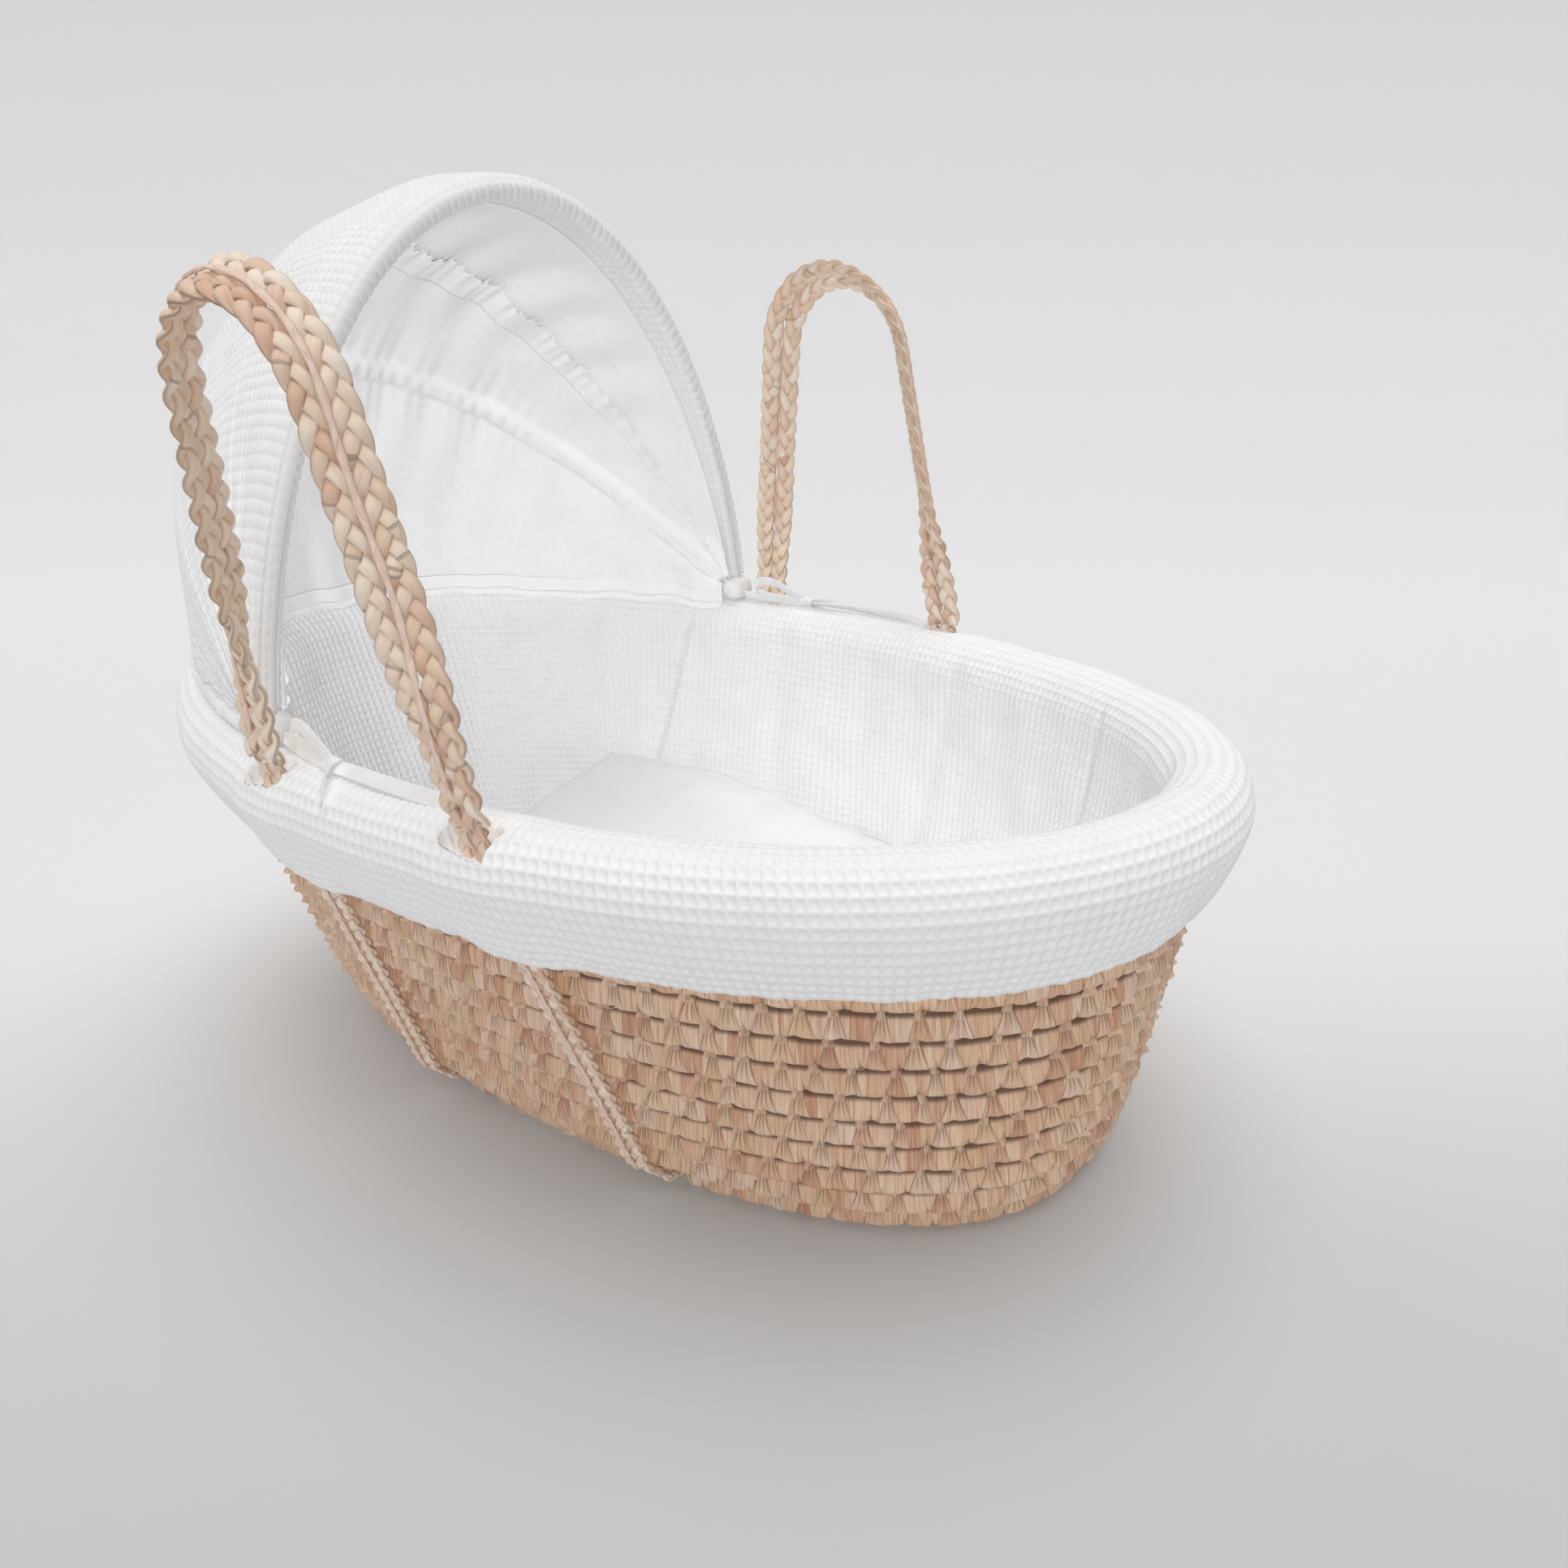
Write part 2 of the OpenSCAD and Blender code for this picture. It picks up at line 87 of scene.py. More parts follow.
WALL_H = rim_high[2]
ROWS = 12
PITCH = WALL_H / ROWS
COIL_T = 16.0
TUCK = [9.0, 2.0]
RIM_N, BASE_N = 2.0, 2.4
RISE, RISE_POWER = 8.0, 2.5
rim_mid = (rim_low[2] + rim_high[2]) / 2 / WALL_H
BASE_L, BASE_W = base_high[:2] + COIL_T + TUCK[0] + 0.6
RIM_L = BASE_L + (rim_high[0] - BASE_L) / rim_mid
RIM_W = BASE_W + (rim_high[1] - BASE_W) / rim_mid
STEP_OUT = PITCH / 2 * (RIM_W - BASE_W) / WALL_H
ROLL_TOP = pad_high[2] - RISE
SKIRT_Z = skirt_low[2]
FOOT_X = 84.0
STRAP_SPREAD = 17.0
PLAIT_W, PLAIT_T = 6.0, 5.2
PLAIT_GAP = PLAIT_W + 0.2
PLAIT_SINK = 1.6
STRAP_HALF = PLAIT_GAP + PLAIT_W
STRAP_OFF = STEP_OUT + 0.9 + PLAIT_T
HANDLE_PIVOT = joint_at("handle_far_swing")
LEAN = math.radians(9.5)
ARCH_R = 54.0
HOOD = joint_at("hood_fold")
HOOD_X = -HOOD[0]
FRONT, MIDDLE, REAR, HEM = 81.5, 113.5, 145.5, 178.0
CHANNEL = 139.5


# ---------- small mathematics ----------
def unit(v):
    return v / np.maximum(np.linalg.norm(v, axis=-1, keepdims=True), 1e-12)


def smooth(t):
    t = np.clip(t, 0, 1)
    return t * t * (3 - 2 * t)


def signed_power(v, p):
    return np.sign(v) * np.abs(v) ** p


def waves(t, low, high, seed, count=7):
    """Smooth periodic noise of t in turns, about -1 to 1, with low to high waves a turn."""
    rng = np.random.default_rng(seed)
    total = np.zeros_like(np.asarray(t, float))
    for _ in range(count):
        total = total + np.cos(TAU * (rng.integers(low, high + 1) * t + rng.random()))
    return total / math.sqrt(count)


def field(x, y, size, seed, count=9):
    """Smooth noise over a plane, about -1 to 1, with bumps about size across."""
    rng = np.random.default_rng(seed)
    total = 0.0
    for _ in range(count):
        turn, length = rng.random() * TAU, size * (1.3 + 1.4 * rng.random())
        total = total + np.cos(TAU * ((x * math.cos(turn) + y * math.sin(turn)) / length + rng.random()))
    return total / math.sqrt(count)


def through(points, count):
    """A smooth curve through the points, evenly spaced."""
    p = np.asarray(points, float)
    ends = np.vstack([2 * p[0] - p[1], p, 2 * p[-1] - p[-2]])
    fine = []
    for i in range(1, len(ends) - 2):
        a, b, c, d = ends[i - 1:i + 3]
        for t in np.linspace(0, 1, 40, endpoint=False):
            fine.append(0.5 * (2 * b + (c - a) * t + (2 * a - 5 * b + 4 * c - d) * t * t
                               + (3 * b - a - 3 * c + d) * t ** 3))
    fine.append(p[-1])
    return even(np.array(fine), count)


def along(p):
    return np.concatenate([[0], np.cumsum(np.linalg.norm(np.diff(p, axis=0), axis=1))])


def even(p, count):
    s = along(p)
    want = np.linspace(0, s[-1], count)
    return np.stack([np.interp(want, s, p[:, i]) for i in range(p.shape[1])], 1)


# ---------- the oval ----------
def oval(a, off, z):
    t = np.clip(z / WALL_H, 0, 1)
    n = BASE_N + (RIM_N - BASE_N) * t
    x = (BASE_L + (RIM_L - BASE_L) * t + off) * signed_power(np.cos(a), 2 / n)
    y = (BASE_W + (RIM_W - BASE_W) * t + off) * signed_power(np.sin(a), 2 / n)
    return x, y


def oval_y(x, z):
    t = np.clip(z / WALL_H, 0, 1)
    n = BASE_N + (RIM_N - BASE_N) * t
    length = BASE_L + (RIM_L - BASE_L) * t
    width = BASE_W + (RIM_W - BASE_W) * t
    return width * (1 - (np.abs(x) / length) ** n) ** (1 / n)


def rise(x, z):
    return RISE * (np.abs(x) / RIM_L) ** RISE_POWER * np.clip(z / WALL_H, 0, 1)


def even_angles(off, z, count):
    """Angles that lie evenly round the oval, with the oval's length."""
    a = np.linspace(0, TAU, 24001)
    x, y = oval(a, off, z)
    s = along(np.stack([x, y], 1))
    return np.interp(np.arange(count) / count * s[-1], s, a), s[-1]


def outline(off, z, count):
    """Points, outward directions and places in mm round the oval."""
    a, length = even_angles(off, z, count)
    p = np.stack(oval(a, off, z), 1)
    tangent = unit(np.roll(p, -1, 0) - np.roll(p, 1, 0))
    return p, np.stack([tangent[:, 1], -tangent[:, 0]], 1), np.arange(count) / count * length, length


# ---------- meshes ----------
def grid_quads(rows, cols, wrap_rows=False, wrap_cols=False, start=0):
    r = np.arange(rows if wrap_rows else rows - 1)
    c = np.arange(cols if wrap_cols else cols - 1)
    r0, c0 = np.meshgrid(r, c, indexing="ij")
    r1, c1 = (r0 + 1) % rows, (c0 + 1) % cols
    quads = np.stack([r0 * cols + c0, r0 * cols + c1, r1 * cols + c1, r1 * cols + c0], -1)
    return quads.reshape(-1, 4) + start


def make(name, verts, faces, material, slot, replaces=(), body=None, values=None, normals=None):
    """A smooth mesh piece. faces is a list of index arrays, each with its own number of corners."""
    mesh = bpy.data.meshes.new(name)
    verts = np.asarray(verts, float).reshape(-1, 3)
    faces = [np.asarray(f, np.int32) for f in faces if len(f)]
    sizes = np.concatenate([np.full(len(f), f.shape[1], np.int32) for f in faces])
    loops = np.concatenate([f.ravel() for f in faces])
    mesh.vertices.add(len(verts))
    mesh.vertices.foreach_set("co", (verts * MM).astype(np.float32).ravel())
    mesh.loops.add(len(loops))
    mesh.loops.foreach_set("vertex_index", loops)
    mesh.polygons.add(len(sizes))
    mesh.polygons.foreach_set("loop_start", np.concatenate([[0], np.cumsum(sizes)[:-1]]).astype(np.int32))
    mesh.update(calc_edges=True)
    mesh.shade_smooth()
    for key, data in (values or {}).items():
        data = np.asarray(data, np.float32)
        kind, field_name = ("FLOAT", "value") if data.ndim == 1 else ("FLOAT_VECTOR", "vector")
        mesh.attributes.new(key, kind, "POINT").data.foreach_set(field_name, data.ravel())
    if normals is not None:
        mesh.normals_split_custom_set_from_vertices(unit(normals).tolist())
    mesh.materials.append(material)
    piece = bpy.data.objects.new(name, mesh)
    bpy.context.scene.collection.objects.link(piece)
    if replaces:
        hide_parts(*replaces)
    if body:
        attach(piece, body)
    return piece


class Pile:
    """Several closed shapes gathered into one mesh."""

    def __init__(self):
        self.verts, self.faces, self.values, self.count = [], {}, {}, 0

    def add(self, verts, faces, values):
        verts = np.asarray(verts, float).reshape(-1, 3)
        for f in faces:
            f = np.asarray(f)
            self.faces.setdefault(f.shape[1], []).append(f + self.count)
        for key, data in values.items():
            self.values.setdefault(key, []).append(np.asarray(data, float).reshape(len(verts), -1))
        self.verts.append(verts)
        self.count += len(verts)

    def make(self, name, material, slot, **more):
        values = {k: np.concatenate(v) for k, v in self.values.items()}
        values = {k: v[:, 0] if v.shape[1] == 1 else v for k, v in values.items()}
        faces = [np.concatenate(f) for f in self.faces.values()]
        return make(name, np.concatenate(self.verts), faces, material, slot, values=values, **more)


def tube(path, width_dir, depth_dir, half_w, half_t, sides, square=1.0, ridge=0.0):
    """A closed rod along path. square below 1 flattens its faces; ridge roughens its outline."""
    n = len(path)
    b = np.arange(sides) / sides * TAU
    cw, st = signed_power(np.cos(b), square), signed_power(np.sin(b), square)
    half_w = np.broadcast_to(np.asarray(half_w, float).reshape(-1, 1), (n, 1))
    half_t = np.broadcast_to(np.asarray(half_t, float).reshape(-1, 1), (n, 1))
    swell = 1 + ridge * np.cos(5 * b + 1.0)[None, :]
    w, t = half_w * cw * swell, half_t * st * swell
    verts = path[:, None, :] + width_dir[:, None, :] * w[..., None] + depth_dir[:, None, :] * t[..., None]
    caps = [np.arange(sides)[None, ::-1], (n - 1) * sides + np.arange(sides)[None, :]]
    s = along(path)
    fib = np.stack(np.broadcast_arrays((b / TAU)[None, :] * 4 * half_w, s[:, None] * np.ones(sides), 0.0), -1)
    return verts.reshape(-1, 3), [grid_quads(n, sides, wrap_cols=True)[:, ::-1]] + caps, fib.reshape(-1, 3)


# ---------- materials ----------
def srgb(*rgb):
    lin = [c / 255 / 12.92 if c / 255 <= 0.04045 else ((c / 255 + 0.055) / 1.055) ** 2.4 for c in rgb]
    return (*lin, 1.0)


class Graph:
    """Shorthand for building a material's nodes."""

    def __init__(self, name):
        self.material = bpy.data.materials.new(name)
        self.material.use_nodes = True
        self.tree = self.material.node_tree
        self.tree.nodes.clear()
        self.out = self.tree.nodes.new("ShaderNodeOutputMaterial")
        self.shader = self.tree.nodes.new("ShaderNodeBsdfPrincipled")
        self.tree.links.new(self.shader.outputs[0], self.out.inputs[0])

    def put(self, socket, value):
        if isinstance(value, bpy.types.NodeSocket):
            self.tree.links.new(value, socket)
        else:
            socket.default_value = value

    def node(self, kind, inputs, **settings):
        n = self.tree.nodes.new(kind)
        for key, value in settings.items():
            setattr(n, key, value)
        for key, value in inputs.items():
            self.put(n.inputs[key], value)
        return n

    def math(self, op, a, b=0.0, clamp=False):
        return self.node("ShaderNodeMath", {0: a, 1: b}, operation=op, use_clamp=clamp).outputs[0]

    def add(self, a, b):
        return self.math("ADD", a, b)

    def mul(self, a, b):
        return self.math("MULTIPLY", a, b)

    def step(self, value, low, high):
        """0 below low, 1 above high, smooth between."""
        n = self.node("ShaderNodeMapRange", {0: value, 1: low, 2: high}, interpolation_type="SMOOTHSTEP")
        return n.outputs[0]

    def near(self, value, width):
        """1 where value is 0, falling to 0 at width."""
        return self.step(self.math("ABSOLUTE", value), width, 0.0)

    def attribute(self, name):
        return self.node("ShaderNodeAttribute", {}, attribute_name=name)

    def split(self, vector):
        return self.node("ShaderNodeSeparateXYZ", {0: vector}).outputs

    def join(self, x, y, z=0.0):
        return self.node("ShaderNodeCombineXYZ", {0: x, 1: y, 2: z}).outputs[0]

    def noise(self, vector, scale, detail=2.0, rough=0.5):
        return self.node("ShaderNodeTexNoise",
                         {"Vector": vector, "Scale": scale, "Detail": detail, "Roughness": rough}).outputs[0]

    def random(self, value):
        return self.node("ShaderNodeTexWhiteNoise", {"W": value}, noise_dimensions="1D").outputs[0]

    def ramp(self, value, stops):
        n = self.node("ShaderNodeValToRGB", {0: value})
        marks = n.color_ramp.elements
        while len(marks) < len(stops):
            marks.new(0.5)
        for mark, (at, color) in zip(marks, stops):
            mark.position, mark.color = at, color
        return n.outputs[0]

    def mix(self, share, a, b, kind="MIX"):
        n = self.node("ShaderNodeMix", {0: share}, data_type="RGBA", blend_type=kind)
        self.put(n.inputs[6], a)
        self.put(n.inputs[7], b)
        return n.outputs[2]

    def gray(self, value):
        return self.node("ShaderNodeCombineColor", {0: value, 1: value, 2: value}).outputs[0]

    def position(self):
        return self.node("ShaderNodeTexCoord", {}).outputs["Object"]

    def finish(self, color, rough, height=None, strength=1.0, **more):
        """height is in millimetres."""
        self.put(self.shader.inputs["Base Color"], color)
        self.put(self.shader.inputs["Roughness"], rough)
        for key, value in more.items():
            self.put(self.shader.inputs[key.replace("_", " ")], value)
        if height is not None:
            bump = self.node("ShaderNodeBump", {"Strength": strength, "Distance": MM, "Height": height})
            self.put(self.shader.inputs["Normal"], bump.outputs[0])
        return self.material


HUSK_TONES = [(0.0, srgb(226, 188, 152)), (0.2, srgb(236, 206, 178)), (0.4, srgb(220, 180, 140)),
              (0.58, srgb(238, 212, 192)), (0.74, srgb(224, 182, 152)), (0.86, srgb(214, 164, 134)),
              (0.93, srgb(194, 132, 104)), (1.0, srgb(228, 192, 164))]


def husk_material():
    """Coils wrapped with corn husk: fib is (mm along the row, mm across it, row), bell the place in the
    nearest stitch's fan, and patch counts the overlapping sheets of husk along the row."""
    g = Graph("corn_husk_coil")
    x, y, row = g.split(g.attribute("fib").outputs["Vector"])[:3]
    bx, inside, stitch = g.split(g.attribute("bell").outputs["Vector"])[:3]
    patch = g.attribute("patch").outputs["Fac"]
    dx, dart, knot = g.split(g.attribute("dart").outputs["Vector"])[:3]
    fan = g.step(inside, 0.0, 0.05)
    flat = g.math("SUBTRACT", 1.0, fan)
    at = g.math("FRACT", patch)
    sheet_id = g.add(g.math("FLOOR", patch), g.mul(row, 211.0))
    own = g.add(g.mul(flat, sheet_id), g.mul(fan, g.add(stitch, 7000.5)))
    across = g.add(g.mul(flat, g.add(x, g.mul(dx, g.mul(dart, 1.6)))), g.mul(fan, g.mul(bx, 6.0)))
    fine = g.noise(g.join(across, g.mul(y, 0.04), g.mul(own, 3.7)), 1.35, 3.0, 0.62)
    broad = g.noise(g.join(across, g.mul(y, 0.03), g.mul(own, 5.1)), 0.42, 2.0)
    tone = g.ramp(g.random(g.math("ROUND", own)), HUSK_TONES)
    streak = g.ramp(g.step(broad, 0.36, 0.68), [(0, srgb(234, 206, 178)), (1, srgb(206, 164, 128))])
    color = g.mix(0.3, tone, streak)
    color = g.mix(g.mul(g.step(fine, 0.5, 0.72), 0.75), color, srgb(170, 122, 92))
    color = g.mix(g.mul(g.step(fine, 0.47, 0.28), 0.6), color, srgb(248, 228, 208))
    red = g.mul(g.step(g.noise(g.join(across, g.mul(y, 0.1), g.mul(own, 1.3)), 0.5, 1.0), 0.58, 0.72),
                g.step(g.random(g.add(g.math("ROUND", own), 0.5)), 0.6, 0.85))
    color = g.mix(g.mul(red, 0.5), color, srgb(200, 138, 110))
    # painted shadow: dark lines where the overlapping husk sheets and the stitch fans step over the layer below
    sheet_edge = g.mul(g.step(at, 0.05, 0.0), flat)
    fan_edge = g.mul(g.near(inside, 0.06), g.step(y, 20.0, 7.0))
    dark = g.math("MAXIMUM", g.mul(sheet_edge, 0.45), g.mul(fan_edge, 0.6))
    color = g.mix(dark, color, srgb(138, 96, 68))
    pleats = g.mul(g.math("SINE", g.add(g.mul(bx, 10.0), g.mul(stitch, 2.4))), g.mul(fan, g.step(y, 20.0, 6.0)))
    gathers = g.mul(g.math("SINE", g.mul(dx, 8.0)), g.mul(flat, dart))
    # creases only sets colour: painted shade in the valleys of the fan pleats and of the gathers over the stitches
    # below
    creases = g.math("MINIMUM", pleats, gathers)
    color = g.mix(g.mul(g.step(creases, -0.1, -0.75), 0.6), color, srgb(146, 100, 70))
    # painted shade: a dark band at the top of each row, where the lip of the row above shades it, weaker over the fans
    groove = g.mul(g.step(y, 8.8, 6.4), g.math("SUBTRACT", 1.0, g.mul(fan, 0.75)))
    color = g.mix(g.mul(groove, 0.9), color, srgb(88, 56, 38))
    # painted shade on the underside of each row, where its face turns in under the lip
    color = g.mix(g.mul(g.step(y, 19.6, 22.0), 0.75), color, srgb(104, 68, 46))
    color = g.mix(g.mul(knot, 0.3), color, srgb(246, 222, 200))
    height = g.add(g.mul(fan, 0.5), g.mul(g.mul(at, flat), 0.45))
    height = g.add(height, g.add(g.mul(fine, 0.42), g.mul(broad, 0.4)))
    height = g.add(height, g.mul(g.add(pleats, gathers), 0.38))
    rough = g.add(0.42, g.mul(fine, 0.22))
    return g.finish(color, rough, height, 1.0, Specular_IOR_Level=0.4, Sheen_Weight=0.08)


def plait_material():
    """Husk strands: fib is (mm round the strand, mm along it, strand), tone is the strip's own colour."""
    g = Graph("husk_plait")
    x, y, strand = g.split(g.attribute("fib").outputs["Vector"])[:3]
    tone = g.attribute("tone").outputs["Fac"]
    fine = g.noise(g.join(x, g.mul(y, 0.05), g.mul(strand, 9.7)), 1.7, 3.0, 0.6)
    broad = g.noise(g.join(x, g.mul(y, 0.12), g.mul(strand, 4.3)), 0.3, 2.0)
    edge = g.attribute("edge").outputs["Fac"]
    color = g.ramp(tone, [(0.0, srgb(240, 218, 196)), (0.3, srgb(246, 232, 216)), (0.55, srgb(234, 208, 182)),
                          (0.8, srgb(242, 222, 204)), (0.94, srgb(222, 182, 156)), (1.0, srgb(232, 204, 180))])
    color = g.mix(g.mul(g.step(broad, 0.48, 0.72), 0.35), color, srgb(208, 172, 138))
    color = g.mix(g.mul(g.step(fine, 0.56, 0.78), 0.4), color, srgb(184, 146, 112))
    color = g.mix(g.mul(g.step(fine, 0.44, 0.22), 0.5), color, srgb(250, 240, 226))
    # painted shade along each strand's side edges, where the plaited strands meet
    color = g.mix(g.mul(edge, 0.45), color, srgb(132, 92, 64))
    height = g.add(g.mul(fine, 0.42), g.mul(broad, 0.45))
    return g.finish(color, g.add(0.46, g.mul(fine, 0.24)), height, 0.9, Specular_IOR_Level=0.35, Sheen_Weight=0.1)


def strand_material():
    g = Graph("husk_strand")
    x, y, strand = g.split(g.attribute("fib").outputs["Vector"])[:3]
    fine = g.noise(g.join(x, g.mul(y, 0.04), strand), 1.9, 3.0, 0.6)
    color = g.ramp(fine, [(0.25, srgb(244, 224, 212)), (0.55, srgb(230, 202, 184)), (0.8, srgb(202, 162, 138))])
    return g.finish(color, 0.5, g.mul(fine, 0.3), 0.8, Specular_IOR_Level=0.35)


def waffle_height(g, u, v, sharp=8.0):
    """Raised thread ridges at whole numbers of u and v, 0 in the pits and 1 on the ridges."""
    ridge_u = g.math("POWER", g.math("ABSOLUTE", g.math("COSINE", g.mul(u, math.pi))), sharp)
    ridge_v = g.math("POWER", g.math("ABSOLUTE", g.math("COSINE", g.mul(v, math.pi))), sharp)
    hole = g.mul(g.math("SUBTRACT", 1.0, ridge_u), g.math("SUBTRACT", 1.0, ridge_v))
    return g.math("SUBTRACT", 1.0, hole)


def waffle_material(name, depth=0.4, tint=(249, 249, 249), pit_shade=(236, 237, 238)):
    """White cotton waffle weave: weave is (cells along, cells across, 1 where the weave is). pit_shade is the painted
    shade in the pits between the ridges.
    """
    g = Graph(name)
    u, v, on = g.split(g.attribute("weave").outputs["Vector"])[:3]
    waffle = g.mul(waffle_height(g, u, v), on)
    threads_u = g.math("SINE", g.mul(u, 14 * math.pi))
    threads_v = g.math("SINE", g.mul(v, 14 * math.pi))
    fuzz = g.noise(g.position(), 1400.0, 3.0, 0.6)
    uneven = g.noise(g.position(), 60.0, 2.0)
    # painted shade: the pits are darker than the ridges, most at their upper part under the ridge above
    shade = g.mix(g.mul(g.step(g.math("FRACT", v), 0.25, 0.9), 0.7), srgb(*tint), srgb(*pit_shade))
    color = g.mix(g.step(waffle, 0.0, 0.6), shade, srgb(*tint))
    color = g.mix(on, srgb(*tint), color)
    color = g.mix(g.mul(g.step(uneven, 0.4, 0.7), 0.12), color, srgb(226, 227, 229))
    # crease is painted shade: along the narrow seams, faintly in the wide seam valleys, and low on the inner wall by
    # the bedding
    crease = g.attribute("crease").outputs["Fac"]
    color = g.mix(g.mul(crease, 0.34), color, srgb(206, 208, 210))
    weave = g.mul(g.mul(threads_u, threads_v), 0.05)
    height = g.add(g.mul(waffle, depth), g.add(weave, g.mul(fuzz, 0.14)))
    return g.finish(color, 0.92, height, 0.75, Specular_IOR_Level=0.2, Sheen_Weight=0.35, Sheen_Roughness=0.6)


def plain_material(name, light, dark, threads=2200.0, crease=0.25):
    """Plain woven cotton with fine threads and faint creases."""
    g = Graph(name)
    x, y, z = g.split(g.position())[:3]
    warp = g.mul(g.math("SINE", g.mul(g.add(x, g.mul(z, 0.5)), threads)), g.math("SINE", g.mul(g.add(y, z), threads)))
    soft = g.noise(g.position(), 55.0, 3.0)
    fuzz = g.noise(g.position(), 1800.0, 2.0)
    color = g.mix(g.step(soft, 0.35, 0.7), srgb(*light), srgb(*dark))
    height = g.add(g.mul(warp, 0.03), g.add(g.mul(fuzz, 0.1), g.mul(soft, crease)))
    return g.finish(color, 0.9, height, 0.7, Specular_IOR_Level=0.2, Sheen_Weight=0.3)


def gauze_material():
    """Thin crinkled gauze."""
    g = Graph("gauze")
    crinkle = g.noise(g.position(), 130.0, 4.0, 0.65)
    thread = g.noise(g.position(), 1500.0, 2.0)
    color = g.mix(g.step(crinkle, 0.3, 0.75), srgb(254, 254, 254), srgb(249, 249, 250))
    height = g.add(g.mul(crinkle, 0.22), g.mul(thread, 0.1))
    return g.finish(color, 0.95, height, 0.5, Specular_IOR_Level=0.15, Sheen_Weight=0.5)


def plastic_material():
    g = Graph("hoop_plastic")
    speck = g.noise(g.position(), 900.0, 2.0)
    color = g.mix(speck, srgb(232, 232, 230), srgb(222, 222, 220))
    return g.finish(color, g.add(0.38, g.mul(speck, 0.14)), g.mul(speck, 0.05), 0.5)


HUSK = husk_material()
PLAIT = plait_material()
STRAND = strand_material()
# the last colour of each waffle is the painted shade in its pits
WAFFLE = waffle_material("waffle_cotton")
BLANKET = waffle_material("blanket_cotton", 0.5, (251, 251, 251), (228, 229, 230))
PLAIN = plain_material("plain_cotton", (246, 246, 245), (238, 238, 238))
SHEET = plain_material("sheet_cotton", (226, 226, 226), (219, 219, 220), 2600.0, 0.5)
GAUZE = gauze_material()
PLASTIC = plastic_material()

# ---------- coiled basket ----------
STITCH = 21.0
STITCH_DRIFT = 0.22
# Outer face of a coil from the groove above it to the groove below: offset from the wall's face, height
COIL_FACE = [(-9.0, 11.4), (-7.0, 10.0), (-4.4, 8.8), (-2.0, 5.8), (-0.2, 1.6), (0.8, -2.6), (1.3, -5.8),
             (1.0, -8.0), (-0.8, -9.5), (-4.4, -10.2), (-9.0, -10.0)]
CHANNEL_H = 12.2


def stitch_places(row, length):
    rng = np.random.default_rng(100 + row)
    n = round(length / STITCH)
    return np.sort((np.arange(n) + STITCH_DRIFT * row + rng.uniform(-0.2, 0.2, n)) / n % 1.0), n


def nearest(places, at):
    """Signed distance, in turns, from each place round the row to its nearest stitch, with the stitch's number."""
    ring = np.concatenate([[places[-1] - 1], places, [places[0] + 1]])
    right = np.clip(np.searchsorted(ring, at), 1, len(ring) - 1)
    left_gap, right_gap = at - ring[right - 1], ring[right] - at
    use = np.where(left_gap < right_gap, right - 1, right)
    return at - ring[use], (use - 1) % len(places)


def sheet_count(turns, length, profile, seed):
    """Counts the overlapping husk sheets along the row: whole numbers at their curved edges."""
    rng = np.random.default_rng(seed)
    n = round(length / 13.5)
    edge = (np.arange(n) + rng.uniform(-0.33, 0.33, n)) / n
    bow = rng.uniform(1.0, 3.4, n) / length
    slant = rng.uniform(-2.5, 3.5, n) / length
    result = np.zeros((len(turns), len(profile)))
    for j, t in enumerate(profile):
        here = edge + bow * math.sin(math.pi * t) + slant * (t - 0.5)
        ring = np.concatenate([here - 1, here, here + 1])
        result[:, j] = np.interp(turns, ring, np.arange(3 * n))
    return result


def strap_channel(x, z):
    """Lifts the lowest coils over the straps that run under the basket."""
    over = smooth((STRAP_HALF + 6 - np.abs(np.abs(x) - FOOT_X - STRAP_SPREAD)) / 5)
    return z + over * CHANNEL_H * np.clip(1 - z / (PITCH + 2), 0, 1)


